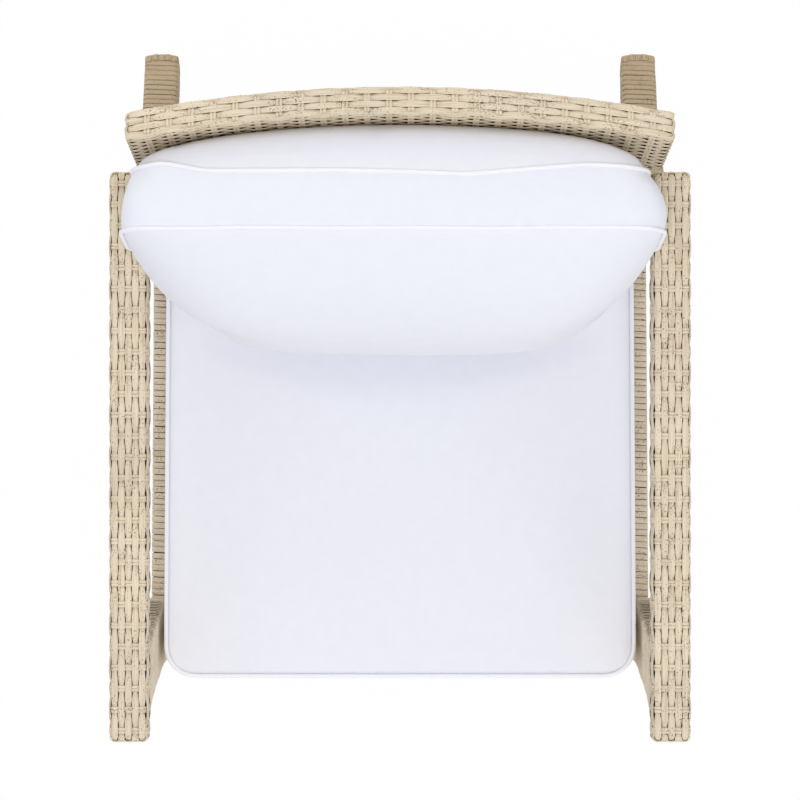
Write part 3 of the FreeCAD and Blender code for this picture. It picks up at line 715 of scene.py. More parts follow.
def front_leg_place(word):
    """How the front leg's section sits at each height: it swells at the rail and curves into the arm."""
    low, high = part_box(f"front_leg_weave_{word}")
    middle = (low.x + high.x) / 2
    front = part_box(f"arm_weave_{word}")[0].y
    heights = low.z + np.array((0.0, 0.13, 0.274, 0.314, 0.40, 0.494, 0.530, 0.564))
    fore = front + np.array((0.0745, 0.0735, 0.0730, 0.0720, 0.0610, 0.0480, 0.0400, 0.0300))
    back = front + np.array((0.1310, 0.1480, 0.1655, 0.1660, 0.1520, 0.1362, 0.1302, 0.1245))

    def place(s):
        height = low.z + s
        near, far = smooth_between(height, heights, fore), smooth_between(height, heights, back)
        spot = np.column_stack((np.full(len(s), middle), (near + far) / 2, height))
        depth = (far - near)[:, None] / (2 * FRONT_LEG_HALF_DEPTH)
        return spot, np.broadcast_to(ACROSS, spot.shape), np.array((0.0, 1.0, 0.0)) * depth

    return place, high.z - low.z


class CHAIR_OT_front_legs(Operator):
    """Wind both front legs"""

    bl_idname = "chair.front_legs"
    bl_label = "Front legs"

    def execute(self, context):
        winding = context.scene.chair_winding
        outline = oblong(0.025, FRONT_LEG_HALF_DEPTH, 0.0065)
        pitch, cover = winding.leg_pitch, winding.cover + 0.09
        for seed, (word, _) in enumerate(SIDES, 31):
            place, length = front_leg_place(word)
            names = [f"front_leg_{part}_{word}" for part in ("winding", "shade_lining", "weave")]
            wrap_member(context, names, seed, outline, place, length, pitch, cover, rows=24, late=0.004)
        return {"FINISHED"}


def back_leg_place(word):
    """The back leg's middle line: upright under the arm, then one long bend out to the foot."""
    low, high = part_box(f"back_leg_weave_{word}")
    middle = (low.x + high.x) / 2
    rear = low.y + SABRE_DEPTH
    radius = (high.y - rear) / (1 - math.cos(SABRE_SWEEP))
    bend_top = SABRE_END + radius * math.sin(SABRE_SWEEP)
    post = high.z - bend_top
    centre = np.array((middle, rear + radius, bend_top))
    line = radius + SABRE_DEPTH / 2
    length = post + line * SABRE_SWEEP

    def place(s):
        turn = np.clip((s - post) / line, 0, None)
        drop = np.clip(s, None, post)
        toward = np.column_stack((np.zeros(len(s)), np.cos(turn), np.sin(turn)))
        spot = centre - toward * line
        spot[:, 2] += np.where(s < post, post - drop, 0.0)
        return spot, np.broadcast_to(ACROSS, spot.shape), toward

    return place, length, low.z


def places_of(mesh):
    """A mesh's vertex places."""
    spots = np.empty(len(mesh.vertices) * 3, np.float32)
    mesh.vertices.foreach_get("co", spots)
    return spots.reshape(-1, 3).astype(float)


def put_at(mesh, spots):
    """Move a mesh's vertices to new places."""
    mesh.vertices.foreach_set("co", np.ascontiguousarray(spots, np.float32).ravel())
    mesh.update()


def keep_above(piece, floor):
    """Press a piece's lowest points up to a level."""
    spots = places_of(piece.data)
    spots[:, 2] = np.maximum(spots[:, 2], floor)
    put_at(piece.data, spots)


STRAP_PITCH = 0.0098
STRAP_HALF_WIDTH = 0.0046


def end_straps(context, word, place, length, floor):
    """Five strands folded over the back leg's end, down to the glide."""
    strands = Strands(FLAT_STRAND, 51 if word == "left" else 52)
    half = SABRE_DEPTH / 2
    wrap = Loop([(-0.030, -half), (0.0, -half), (0.0, half), (-0.030, half)], (0.003, 0.005, 0.005, 0.003))
    start, stop = wrap.nearest([(-0.012, -half), (-0.012, half)])
    flat, normals = wrap.at(np.linspace(start, stop, 26))
    for number in range(FACE_STRANDS):
        aside = (number - FACE_STRANDS // 2) * STRAP_PITCH
        curve = 0.0022 if number in (0, FACE_STRANDS - 1) else 0.0
        beyond = np.clip(flat[:, 0] + 0.0005 - curve, None, 0.0)
        spot, across, toward = place(np.full(len(flat), length))
        forward = unit(np.cross(toward, across))
        points = spot + forward * beyond[:, None] + toward * flat[:, 1:] + across * aside
        facing = unit(forward * normals[:, :1] + toward * normals[:, 1:] + across * (0.35 * aside / half))
        strands.lay(points, facing, STRAP_HALF_WIDTH, WOUND_HALF_THICK, closed=False)
    piece = strands.build(f"back_leg_end_{word}", strand_with_painted_shade(context))
    keep_above(piece, floor + 0.0004)
    worn_by(piece, "frame", "wrapped_strand")


class CHAIR_OT_back_legs(Operator):
    """Wind both back legs and fold the strand over their feet"""

    bl_idname = "chair.back_legs"
    bl_label = "Back legs"

    def execute(self, context):
        winding = context.scene.chair_winding
        outline = oblong(SABRE_DEPTH / 2, SABRE_DEPTH / 2, 0.0075)
        cover = winding.cover - 0.04
        early = 0.004
        for seed, (word, _) in enumerate(SIDES, 41):
            place, length, floor = back_leg_place(word)
            strands = Strands(FLAT_STRAND, seed)
            wind(strands, outline, place, length - early, winding.back_leg_pitch, cover, early=early)
            piece = strands.build(f"back_leg_winding_{word}", strand_with_painted_shade(context))
            keep_above(piece, floor + 0.0002)
            worn_by(piece, "frame", "wrapped_strand", f"back_leg_weave_{word}")
            # The dark sheet under the winding paints the shade between its turns.
            shade_lining_piece = shade_lining(context, f"back_leg_shade_lining_{word}", outline, place, length, 40)
            keep_above(shade_lining_piece, floor + 0.002)
            end_straps(context, word, place, length, floor)
        return {"FINISHED"}


def from_pivot(pivot, axes, places):
    """Points in the chair's frame from places measured from a pivot along three axes."""
    spots = pivot
    for axis, place in zip(axes, places):
        spots = spots + np.asarray(place, float)[..., None] * axis
    return spots


def on_seat(across, along, up):
    """Points from places across, along and off the sloping seat frame."""
    return from_pivot(SEAT_PIVOT, (ACROSS, ALONG_SEAT, OFF_SEAT), (across, along, up))


class CHAIR_OT_seat_rails(Operator):
    """Wind the side rails and the front rail"""

    bl_idname = "chair.seat_rails"
    bl_label = "Seat rails"

    def execute(self, context):
        winding = context.scene.chair_winding
        pitch = winding.rail_pitch
        size = 0.020
        outwards = 0.002
        early = 0.006
        outline = oblong(size + outwards, size, 0.006)
        for seed, (word, side) in enumerate(SIDES, 61):
            low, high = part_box(f"side_rail_weave_{word}")
            middle = (low.x + high.x) / 2 + side * outwards
            length = (high.y - low.y) / ALONG_SEAT[1] + early

            def place(s, middle=middle):
                spot = on_seat(np.full(len(s), middle), s - early, np.full(len(s), -size))
                return spot, np.broadcast_to(ACROSS, spot.shape), np.broadcast_to(OFF_SEAT, spot.shape)

            names = [f"side_rail_{part}_{word}" for part in ("winding", "shade_lining", "weave")]
            wrap_member(context, names, seed, outline, place, length, pitch, winding.cover, rows=3)
        low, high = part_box("front_cross_weave")
        deep = 0.022
        outline = oblong(deep, size, 0.006)

        def along_front(s):
            spot = on_seat(low.x + s, np.full(len(s), -deep), np.full(len(s), -size))
            return spot, np.broadcast_to(ALONG_SEAT, spot.shape), np.broadcast_to(OFF_SEAT, spot.shape)

        names = ("front_rail_winding", "front_rail_shade_lining", "front_cross_weave")
        length = high.x - low.x
        wrap_member(context, names, 63, outline, along_front, length, pitch, winding.cover, rows=3)
        return {"FINISHED"}


# ---------------------------------------------------------------- backrest

def on_back(across, rear, up):
    """Points from places across, behind and up the reclined backrest."""
    return from_pivot(BACK_PIVOT, (ACROSS, OFF_BACK, UP_BACK), (across, rear, up))


def bow_at(across, depth=0.0):
    """How far behind the pivot the backrest's bowed front lies, or a surface that is depth behind it."""
    return BACK_BOW - BOW_RADIUS + np.sqrt((BOW_RADIUS + depth) ** 2 - across**2)


def bowed(across, depth, up, normals=None):
    """Bend a flat slab to the backrest's bow and lay it at the backrest's slope."""
    points = on_back(across, bow_at(across, depth), up)
    if normals is None:
        return points
    lean = across / (BOW_RADIUS + depth)
    level = np.sqrt(1 - lean**2)
    side = normals[:, 0] * level + normals[:, 1] * lean
    back = normals[:, 1] * level - normals[:, 0] * lean
    return points, unit(side[:, None] * ACROSS + back[:, None] * OFF_BACK + normals[:, 2:] * UP_BACK)


BACK_ROWS = 57
BACK_EDGES = 4
BACK_PAIRS = 24
BACK_PAIR_PITCH = 0.027
BACK_EDGE = 0.006
BACK_SHOULDER_EDGE = 0.003
BACK_ROW_WIDTH = 1.08
BACK_RIM_WIDTH = 0.93
BACK_TOP_LEAN = 0.35
BACK_INSET = 0.0038
BACK_LEVELS = BACK_RISE - (np.arange(BACK_ROWS) + 0.5) * (BACK_RISE + BACK_DROP) / BACK_ROWS
BACK_DEPTHS = (np.arange(BACK_EDGES) + 0.5) * BACK_THICK / BACK_EDGES
BACK_PLACES = (np.arange(BACK_PAIRS) - (BACK_PAIRS - 1) / 2) * BACK_PAIR_PITCH


def weave_back_rows(context):
    """The level strands, each round the front, both ends and the rear."""
    weave = context.scene.chair_weave
    thick, sink = weave_depths(weave)
    near, far = sink, BACK_THICK - sink
    strands = Strands(FLAT_STRAND, 71)
    for row, level in enumerate(BACK_LEVELS):
        half = (BACK_HALF if level > BACK_SHOULDER else BACK_LOW_HALF) - sink
        loop, stations = crossed((-half, near), (half, far), BACK_EDGE, BACK_PLACES, BACK_DEPTHS)
        flat, normals, narrow = weave_along(loop, stations, over_or_under(row), weave.lift, 4)
        facing = set_in(normals, 2, BACK_TOP_LEAN if row == 0 else 0.0)
        points, facing = bowed(*set_in(flat, 2, level).T, facing)
        strands.lay(points, facing, weave.strand_width / 2 * BACK_ROW_WIDTH * narrow, thick)
    piece = strands.build("backrest_rows", pale_strand(context))
    worn_by(piece, "frame", "strand_weave", "backrest_weave")


def weave_back_rim(context):
    """The strands that lie along the top, the ends and the bottom."""
    weave = context.scene.chair_weave
    thick, sink = weave_depths(weave)
    top, bottom = BACK_RISE - sink, sink - BACK_DROP
    wide, slim = BACK_HALF - sink, BACK_LOW_HALF - sink
    rim = Loop(
        [(-slim, bottom), (slim, bottom), (slim, BACK_SHOULDER), (wide, BACK_SHOULDER),
         (wide, top), (-wide, top), (-wide, BACK_SHOULDER), (-slim, BACK_SHOULDER)],
        (BACK_EDGE, BACK_EDGE, BACK_SHOULDER_EDGE, BACK_SHOULDER_EDGE) * 2,
    )
    side_of = np.where(BACK_LEVELS > BACK_SHOULDER, wide, slim)
    stations = rim.nearest(
        [(x, bottom) for x in BACK_PLACES]
        + [(x, z) for x, z in zip(side_of[::-1], BACK_LEVELS[::-1])]
        + [(x, top) for x in BACK_PLACES[::-1]]
        + [(-x, z) for x, z in zip(side_of, BACK_LEVELS)]
    )
    strands = Strands(FLAT_STRAND, 72)
    for number, depth in enumerate(BACK_DEPTHS):
        flat, normals, narrow = weave_along(rim, stations, -over_or_under(number), weave.lift, 4)
        points, facing = bowed(*set_in(flat, 1, depth).T, set_in(normals, 1, 0.0))
        strands.lay(points, facing, weave.strand_width / 2 * BACK_RIM_WIDTH * (1 + narrow) / 2, thick)
    piece = strands.build("backrest_rim_strands", pale_strand(context))
    worn_by(piece, "frame", "strand_weave")


def weave_back_pairs(context):
    """The upright pairs, round the top, the rear, the bottom and the front."""
    weave = context.scene.chair_weave
    thick, sink = weave_depths(weave)
    low, high = (sink, sink - BACK_DROP), (BACK_THICK - sink, BACK_RISE - sink)
    hoop, stations = crossed(low, high, BACK_EDGE, BACK_DEPTHS, BACK_LEVELS[::-1])
    strands = Strands(NARROW_STRAND, 73)
    for number, place in enumerate(BACK_PLACES):
        for nudge in PAIR_NUDGES:
            flat, normals, narrow = weave_along(hoop, stations, over_or_under(number), weave.lift, 3)
            x = place + nudge * weave.pair_width
            points, facing = bowed(*set_in(flat, 0, x).T, set_in(normals, 0, 0.0))
            strands.lay(points, facing, weave.pair_width / 2 * narrow, thick)
    piece = strands.build("backrest_pairs", pale_strand(context))
    worn_by(piece, "frame", "strand_weave")


def lay_back_shade_lining(context, name, low, high, half):
    """A dark sheet in the frame's powder coat inside the backrest, from one height to another: painted shade
    behind the gaps in the weave.
    """
    x = np.linspace(BACK_INSET - half, half - BACK_INSET, 40)
    near, far, bottom, top = BACK_INSET, BACK_THICK - BACK_INSET, low + BACK_INSET, high - BACK_INSET
    corners = ((near, bottom), (far, bottom), (far, top), (near, top))
    rings = np.stack([bowed(x, np.full(40, depth), np.full(40, up)) for depth, up in corners], axis=1)
    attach(skin(name, rings, powder_coat(context)), "frame")


class CHAIR_OT_backrest(Operator):
    """Weave the bowed backrest"""

    bl_idname = "chair.backrest"
    bl_label = "Backrest"

    def execute(self, context):
        weave_back_rows(context)
        weave_back_rim(context)
        weave_back_pairs(context)
        # Dark sheets inside the weave paint the shade seen through its gaps.
        lay_back_shade_lining(context, "backrest_shade_lining_upper", BACK_SHOULDER, BACK_RISE, BACK_HALF)
        lay_back_shade_lining(context, "backrest_shade_lining_lower", -BACK_DROP, BACK_SHOULDER + 0.002, BACK_LOW_HALF)
        return {"FINISHED"}


# ---------------------------------------------------------------- cushions

def pillow(wide, deep, tall):
    """A closed box of quads, two panels joined by a band: its parameters, faces and both seams."""
    count = (wide + 1) * (deep + 1)
    i, j = np.meshgrid(np.arange(wide + 1), np.arange(deep + 1), indexing="ij")
    panel = i * (deep + 1) + j
    u, v = 2 * i.ravel() / wide - 1, 2 * j.ravel() / deep - 1
    rim = np.concatenate((panel[:-1, 0], panel[-1, :-1], panel[:0:-1, -1], panel[0, :0:-1]))
    levels = [rim]
    parameters = [np.column_stack((u, v, np.full(count, -1.0))), np.column_stack((u, v, np.full(count, 1.0)))]
    for level in range(1, tall):
        levels.append(2 * count + (level - 1) * len(rim) + np.arange(len(rim)))
        parameters.append(np.column_stack((u[rim], v[rim], np.full(len(rim), 2 * level / tall - 1))))
    levels.append(rim + count)
    top = np.stack((panel[:-1, :-1], panel[1:, :-1], panel[1:, 1:], panel[:-1, 1:]), -1).reshape(-1, 4)
    faces = [top[:, ::-1], top + count]
    for low, high in zip(levels[:-1], levels[1:]):
        faces.append(np.stack((low, np.roll(low, -1), np.roll(high, -1), high), -1))
    return np.concatenate(parameters), np.concatenate(faces), rim, rim + count


# A pillow's parameters run from -1 to 1; past this, one lies at an edge or on a panel.
AT_EDGE = 0.999


def on_band(u, v):
    """Which of a pillow's points lie on its band."""
    return (np.abs(u) > AT_EDGE) | (np.abs(v) > AT_EDGE)


def rounded_corners(u, v, half_u, half_v, radius):
    """Square parameters spread over a rectangle with rounded corners."""
    x, y = u * half_u, v * half_v
    past_x = np.clip(np.abs(x) - (half_u - radius), 0, None) / radius
    past_y = np.clip(np.abs(y) - (half_v - radius), 0, None) / radius
    corner = (past_x > 0) & (past_y > 0)
    bent_x = half_u - radius + radius * past_x * np.sqrt(np.clip(1 - past_y**2 / 2, 0, 1))
    bent_y = half_v - radius + radius * past_y * np.sqrt(np.clip(1 - past_x**2 / 2, 0, 1))
    return np.where(corner, np.sign(x) * bent_x, x), np.where(corner, np.sign(y) * bent_y, y)


CLOTH = {
    "quality": 5,
    "mass": 0.3,
    "tension_stiffness": 18,
    "compression_stiffness": 18,
    "shear_stiffness": 8,
    "bending_stiffness": 0.8,
    "use_pressure": True,
}


def stuff(context, piece, seams, cap):
    """Let the filling push the cover out between its seams, no further than a cap."""
    settings = context.scene.chair_cushions
    start = places_of(piece.data)
    group = piece.vertex_groups.new(name="seams")
    group.add([int(index) for seam in seams for index in seam], 1.0, "REPLACE")
    cloth = piece.modifiers.new("Cover", "CLOTH")
    for key, value in CLOTH.items():
        setattr(cloth.settings, key, value)
    cloth.settings.vertex_group_mass = group.name
    cloth.settings.uniform_pressure_force = settings.pressure
    cloth.settings.effector_weights.gravity = 0
    cloth.point_cache.frame_start = 1
    cloth.point_cache.frame_end = settings.settle_frames
    for step in range(1, settings.settle_frames + 1):
        context.scene.frame_set(step)
    shown = piece.evaluated_get(context.evaluated_depsgraph_get())
    moved = places_of(shown.data) - start
    reach = np.linalg.norm(moved, axis=1, keepdims=True)
    moved *= cap * np.tanh(reach / cap) / np.maximum(reach, 1e-9)
    piece.modifiers.remove(cloth)
    piece.vertex_groups.remove(group)
    context.scene.frame_set(1)
    return start + moved


def refine(context, piece):
    """One subdivision, made part of the mesh."""
    rounder = piece.modifiers.new("Rounder", "SUBSURF")
    rounder.levels = rounder.render_levels = 1
    context.view_layer.objects.active = piece
    with context.temp_override(object=piece, active_object=piece, selected_objects=[piece]):
        bpy.ops.object.modifier_apply(modifier=rounder.name)


def sewn_cover(context, body, spots, faces):
    """A cushion's cover as it is sewn, before the filling pushes it out."""
    sizes = np.full(len(faces), 4)
    piece = new_piece(f"{body}_sewn_cover", spots, faces.ravel(), sizes, cushion_cloth(context))
    face_out(piece)
    return piece


def measured(spots, pivot, *axes):
    """Places measured from a pivot along each axis."""
    return [(spots - pivot) @ axis for axis in axes]


def shape_cover(context, cover, spots):
    """Give the cover its settled shape, rounded and smooth."""
    put_at(cover.data, spots)
    refine(context, cover)
    cover.data.polygons.foreach_set("use_smooth", np.ones(len(cover.data.polygons), bool))


def outward_from(line, centre, off):
    """Directions from a centre out to a seam, with nothing along the direction off the panel."""
    outward = line - centre
    return unit(outward - outward @ off[:, None] * off)


CORD_SIDES = 10
CORD_OUT = 0.55


def piping(context, name, spots, outward, radius):
    """A corded edge along a seam: a round cord in cloth, half let into the cover."""
    count = len(spots)
    along = unit(np.roll(spots, -1, axis=0) - np.roll(spots, 1, axis=0))
    out = unit(outward - along * np.sum(outward * along, axis=1, keepdims=True))
    side = np.cross(along, out)
    turns = np.linspace(0, 2 * math.pi, CORD_SIDES, endpoint=False)[None, :, None]
    middle = spots + out * radius * CORD_OUT
    rings = middle[:, None] + radius * (np.cos(turns) * out[:, None] + np.sin(turns) * side[:, None])
    i, j = np.meshgrid(np.arange(count), np.arange(CORD_SIDES), indexing="ij")
    after, beside = (i + 1) % count, (j + 1) % CORD_SIDES
    corners = ((i, j), (i, beside), (after, beside), (after, j))
    quads = np.stack([ring * CORD_SIDES + spot for ring, spot in corners], -1).reshape(-1)
    sizes = np.full(count * CORD_SIDES, 4)
    piece = new_piece(name, rings.reshape(-1, 3), quads, sizes, piping_cloth(context))
    face_out(piece)
    return piece


def cord_seam(context, body, word, line, outward):
    """Pipe one of a cushion's seams."""
    radius = context.scene.chair_cushions.piping_radius
    cord = piping(context, f"{body}_cord_{word}", line, outward, radius)
    worn_by(cord, body, "piping_fabric", f"{body}_piping_{word}")


def cushion_cloth(context):
    colour = context.scene.chair_colours.cloth[:]
    return finish_named("cushion_cloth", cloth_finish, colour, pitch=0.0011, sheen=0.12)


# The piping cord's cloth, painted brighter than the same cushion cloth as a highlight.
def piping_cloth(context):
    colour = context.scene.chair_colours.piping[:]
    return finish_named("piping_cloth", cloth_finish, colour, pitch=0.0009, sheen=0.12)


# Each part of a zip: its size along the zip, across it and off the cover.
ZIP_TAPE = (0.012, 0.0005)
ZIP_TOOTH = (0.0014, 0.0030, 0.0010)
ZIP_SLIDER = (0.008, 0.0058, 0.0016)
ZIP_PULL = (0.018, 0.0034, 0.0008)
TOOTH_PITCH = 0.0026
TOOTH_ASIDE = 0.0008


def close_cover(context, body, line, out):
    """A cushion's coil zip across the chair: tape, two rows of teeth and a slider with its pull."""
    along = ACROSS
    across = np.cross(along, out)
    length = np.linalg.norm(line[1] - line[0])
    parts = []

    def brick(centre, size_along, size_across, size_out):
        corners = np.array([(x, y, z) for x in (-0.5, 0.5) for y in (-0.5, 0.5) for z in (-0.5, 0.5)])
        flat = corners[:, :1] * size_along * along + corners[:, 1:2] * size_across * across
        parts.append(centre + flat + corners[:, 2:] * size_out * out)

    middle = (line[0] + line[1]) / 2
    brick(middle, length, *ZIP_TAPE)
    teeth = int(length / TOOTH_PITCH)
    for number in range(teeth):
        spot = line[0] + (line[1] - line[0]) * (number + 0.5) / teeth
        aside = TOOTH_ASIDE if number % 2 else -TOOTH_ASIDE
        brick(spot + out * 0.0005 + across * aside, *ZIP_TOOTH)
    slider = line[0] + (line[1] - line[0]) * 0.06 + out * 0.0009
    brick(slider, *ZIP_SLIDER)
    brick(slider + along * 0.012, *ZIP_PULL)
    quad = np.array(((0, 1, 3, 2), (4, 6, 7, 5), (0, 4, 5, 1), (2, 3, 7, 6), (0, 2, 6, 4), (1, 5, 7, 3)))
    faces = (quad[None] + 8 * np.arange(len(parts))[:, None, None]).reshape(-1)
    sizes = np.full(6 * len(parts), 4)
    piece = new_piece(f"{body}_coil_zip", np.concatenate(parts), faces, sizes, cushion_cloth(context))
    piece.data.polygons.foreach_set("use_smooth", np.zeros(len(piece.data.polygons), bool))
    face_out(piece)
    worn_by(piece, body, "zip_tape", f"{body}_zip")


def seam_after(spots, seam):
    """The settled seam, smoothed once."""
    line = spots[seam]
    return (np.roll(line, 1, axis=0) + 2 * line + np.roll(line, -1, axis=0)) / 4


def ease(value, low, high):
    """Zero below low, one above high and a smooth rise between."""
    t = np.clip((value - low) / (high - low), 0, 1)
    return t * t * (3 - 2 * t)


WAVES = 7


def soft_waves(spots, seed, scale):
    """A gentle unevenness between minus one and one, the same every time."""
    random = np.random.default_rng(seed)
    total = np.zeros(len(spots))
    for _ in range(WAVES):
        direction = random.normal(0, 1, 3)
        total += np.sin(spots @ (direction * scale) + random.uniform(0, ANY_PHASE))
    return total / WAVES


# The seat cushion's sizes: across the chair, along the sloping seat frame and off it.
SEAT_HALF = 0.3145
SEAT_WIDEST = 0.3182
SEAT_FRONT = -0.1070
SEAT_REAR = 0.5240
SEAT_UNDER = 0.0050
SEAT_THICK = 0.1246
SEAT_CORNER = 0.038
SEAT_BULGE = 0.0035
SEAT_CAP = 0.016
SEAT_RISE = 0.022
UNDER_BACK_CUSHION = (0.24, 0.36)
SLACK = 0.0002


class CHAIR_OT_seat_cushion(Operator):
    """Sew and fill the seat cushion"""

    bl_idname = "chair.seat_cushion"
    bl_label = "Seat cushion"

    def execute(self, context):
        crown_rise = context.scene.chair_cushions.seat_crown
        parameters, faces, low_seam, high_seam = pillow(wide=64, deep=62, tall=12)
        u, v, w = parameters.T
        half_along = (SEAT_REAR - SEAT_FRONT) / 2
        x, along = rounded_corners(u, v, SEAT_HALF - 0.001, half_along - 0.001, SEAT_CORNER)
        along = along + (SEAT_REAR + SEAT_FRONT) / 2
        rim = on_band(u, v)
        # The top is crowned in the open and stays nearly flat under the back cushion.
        open_top = 1 - ease(along, *UNDER_BACK_CUSHION)
        crown = crown_rise * (1 - np.abs(u) ** 5) * (1 - np.abs(v) ** 6) * (0.15 + 0.85 * open_top)
        up = SEAT_UNDER + (w + 1) / 2 * (SEAT_THICK - 0.003) + np.where(w > AT_EDGE, crown, 0.0)
        # The band bellies out at the sides and the front.
        swell = SEAT_BULGE * (1 - w**2) * (1 - ease(along, SEAT_REAR - 0.03, SEAT_REAR))
        x = x + np.where(rim, np.sign(u) * swell * ease(np.abs(u), 0.9, 1.0), 0.0)
        along = along - np.where(rim, swell * ease(-v, 0.9, 1.0), 0.0)
        cover = sewn_cover(context, "seat_cushion", on_seat(x, along, up), faces)
        settled = stuff(context, cover, (low_seam, high_seam), SEAT_CAP)
        x, along, up = measured(settled, SEAT_PIVOT, ACROSS, ALONG_SEAT, OFF_SEAT)
        # Soft unevenness, and no further than the straps, the legs and the backrest allow.
        ripple = soft_waves(settled, 5, 14.0) * 0.0012 + soft_waves(settled, 6, 38.0) * 0.0004
        up = up + np.where(w > AT_EDGE, ripple * (1 - np.abs(u) ** 8), 0.0)
        roof = SEAT_UNDER + SEAT_THICK + SEAT_RISE * open_top + 0.0005
        up = np.clip(up, SEAT_UNDER - SLACK, roof)
        x = np.clip(x, -SEAT_WIDEST, SEAT_WIDEST)
        along = np.clip(along, None, SEAT_REAR + SLACK)
        settled = on_seat(x, along, up)
        shape_cover(context, cover, settled)
        worn_by(cover, "seat_cushion", "cushion_fabric", "seat_cushion_cover", "seat_cushion_foam")
        centre = settled.mean(axis=0)
        for word, seam in (("top", high_seam), ("bottom", low_seam)):
            line = seam_after(settled, seam)
            lean = OFF_SEAT * (0.35 if word == "top" else -0.1)
            cord_seam(context, "seat_cushion", word, line, outward_from(line, centre, OFF_SEAT) + lean)
        height = SEAT_UNDER + SEAT_THICK / 2
        line = [on_seat(end, SEAT_REAR + 0.0006, height) for end in (-0.256, 0.256)]
        close_cover(context, "seat_cushion", line, ALONG_SEAT)
        return {"FINISHED"}


# The back cushion's sizes: across the chair, behind its pivot and up the backrest.
PILLOW_LOW = -0.2388
PILLOW_RISE = 0.181
PILLOW_LOW_HALF = 0.3125
PILLOW_CORNER = 0.12
PILLOW_CAP = 0.014
PILLOW_WIDE_HALF = 0.3200
PILLOW_FLARE = 0.0080
PILLOW_BOW_HALF = 0.342
PILLOW_SPREAD = 0.34
PILLOW_BULGE = 0.006
PILLOW_ASIDE = 0.0120
PILLOW_REAR_ROLL = 0.012
BETWEEN_ARMS_HALF = 0.3155
OVER_ARMS_GAIN = 0.0315
REAR_SEAM = -0.034
FRONT_SEAM = -0.105
FRONT_REACH = -0.2360
SLUMP_PLACES = (-0.330, -0.290, -0.238, -0.078, 0.012, 0.083, 0.164, 0.230, 0.290, 0.310)
SLUMP = (0.005, 0.009, -0.001, 0.0, -0.002, -0.005, 0.002, 0.007, 0.004, 0.004)


class CHAIR_OT_back_cushion(Operator):
    """Sew and fill the back cushion"""

    bl_idname = "chair.back_cushion"
    bl_label = "Back cushion"

    def execute(self, context):
        parameters, faces, rear_seam, front_seam = pillow(wide=70, deep=46, tall=8)
        u, v, w = parameters.T
        middle, half_height = (PILLOW_RISE + PILLOW_LOW) / 2, (PILLOW_RISE - PILLOW_LOW) / 2
        x, up = rounded_corners(u, v, 1.0, half_height / PILLOW_SPREAD, PILLOW_CORNER)
        up = up * PILLOW_SPREAD + middle
        # Above the arms the cushion is wider and leans to one side.
        above = ease(up, -0.010, 0.035)
        wide_half = PILLOW_WIDE_HALF + PILLOW_FLARE * (w + 1)
        half = PILLOW_LOW_HALF + (wide_half - PILLOW_LOW_HALF) * above
        across = x * half - (PILLOW_ASIDE - 0.0015 * (w + 1)) * above
        # The rear panel follows the backrest's bow and rolls over its top; the front panel swells.
        bow = bow_at(across) - 0.0028
        slump = np.interp(across, SLUMP_PLACES, SLUMP) * ease(up, 0.02, 0.12) * (1 - w) / 2
        depth = REAR_SEAM + slump + (w + 1) / 2 * (FRONT_SEAM - REAR_SEAM)
        rear_swell = (1 - np.abs(u) ** 10) ** 0.5 * (1 - np.abs(v) ** 14) ** 0.5
        front_swell = (1 - np.abs(u) ** 5) * (1 - np.abs(v) ** 2.7)
        rear_roll = PILLOW_REAR_ROLL * np.exp(-(((v - 0.90) / 0.07) ** 2)) * (1 - np.abs(u) ** 6)
        depth = np.where(w < -AT_EDGE, depth + (bow - depth) * rear_swell, depth)
        up = up + np.where(w < -AT_EDGE, rear_roll, 0.0)
        depth = np.where(w > AT_EDGE, FRONT_SEAM + (FRONT_REACH + 0.006 - FRONT_SEAM) * front_swell, depth)
        rim = on_band(u, v)
        swell = (PILLOW_BULGE + PILLOW_BULGE * (u > 0) * above) * (1 - w**2)
        across = across + np.where(rim, np.sign(u) * swell * ease(np.abs(u), 0.9, 1.0), 0.0)
        up = up + np.where(rim, swell * 0.5 * ease(v, 0.9, 1.0), 0.0)
        cover = sewn_cover(context, "back_cushion", on_back(across, depth, up), faces)
        settled = stuff(context, cover, (rear_seam, front_seam), PILLOW_CAP)
        across, depth, up = measured(settled, BACK_PIVOT, ACROSS, OFF_BACK, UP_BACK)
        # Soft unevenness, and no further than the backrest, the arms and the seat cushion allow.
        ripple = soft_waves(settled, 8, 16.0) * 0.0016 + soft_waves(settled, 9, 42.0) * 0.0005
        depth = depth + np.where(w > AT_EDGE, ripple * (1 - np.abs(u) ** 8), 0.0)
        bow = bow_at(np.clip(across, -PILLOW_BOW_HALF, PILLOW_BOW_HALF)) - 0.0008
        depth = np.clip(depth, FRONT_REACH - 0.004, bow)
        room = BETWEEN_ARMS_HALF + OVER_ARMS_GAIN * ease(up, -0.004, 0.024)
        across = np.clip(across, -room, room)
        up = np.clip(up, PILLOW_LOW - SLACK, None)
        settled = on_back(across, depth, up)
        shape_cover(context, cover, settled)
        worn_by(cover, "back_cushion", "cushion_fabric", "back_cushion_cover", "back_cushion_filling")
        centre = on_back(0.0, REAR_SEAM, middle)
        for word, seam in (("front", front_seam), ("rear", rear_seam)):
            line = seam_after(settled, seam)
            lean = OFF_BACK * (-0.3 if word == "front" else 0.3)
            outward = outward_from(line, centre, OFF_BACK) + lean
            low = np.clip(PILLOW_LOW + 0.006 - (line - BACK_PIVOT) @ UP_BACK, 0, None)
            line = line + low[:, None] * UP_BACK
            cord_seam(context, "back_cushion", word, line, outward)
        depth = (REAR_SEAM + FRONT_SEAM) / 2
        line = [on_back(end, depth, PILLOW_LOW - SLACK) for end in (-0.24, 0.24)]
        close_cover(context, "back_cushion", line, -UP_BACK)
        return {"FINISHED"}


# ---------------------------------------------------------------- frame finishes

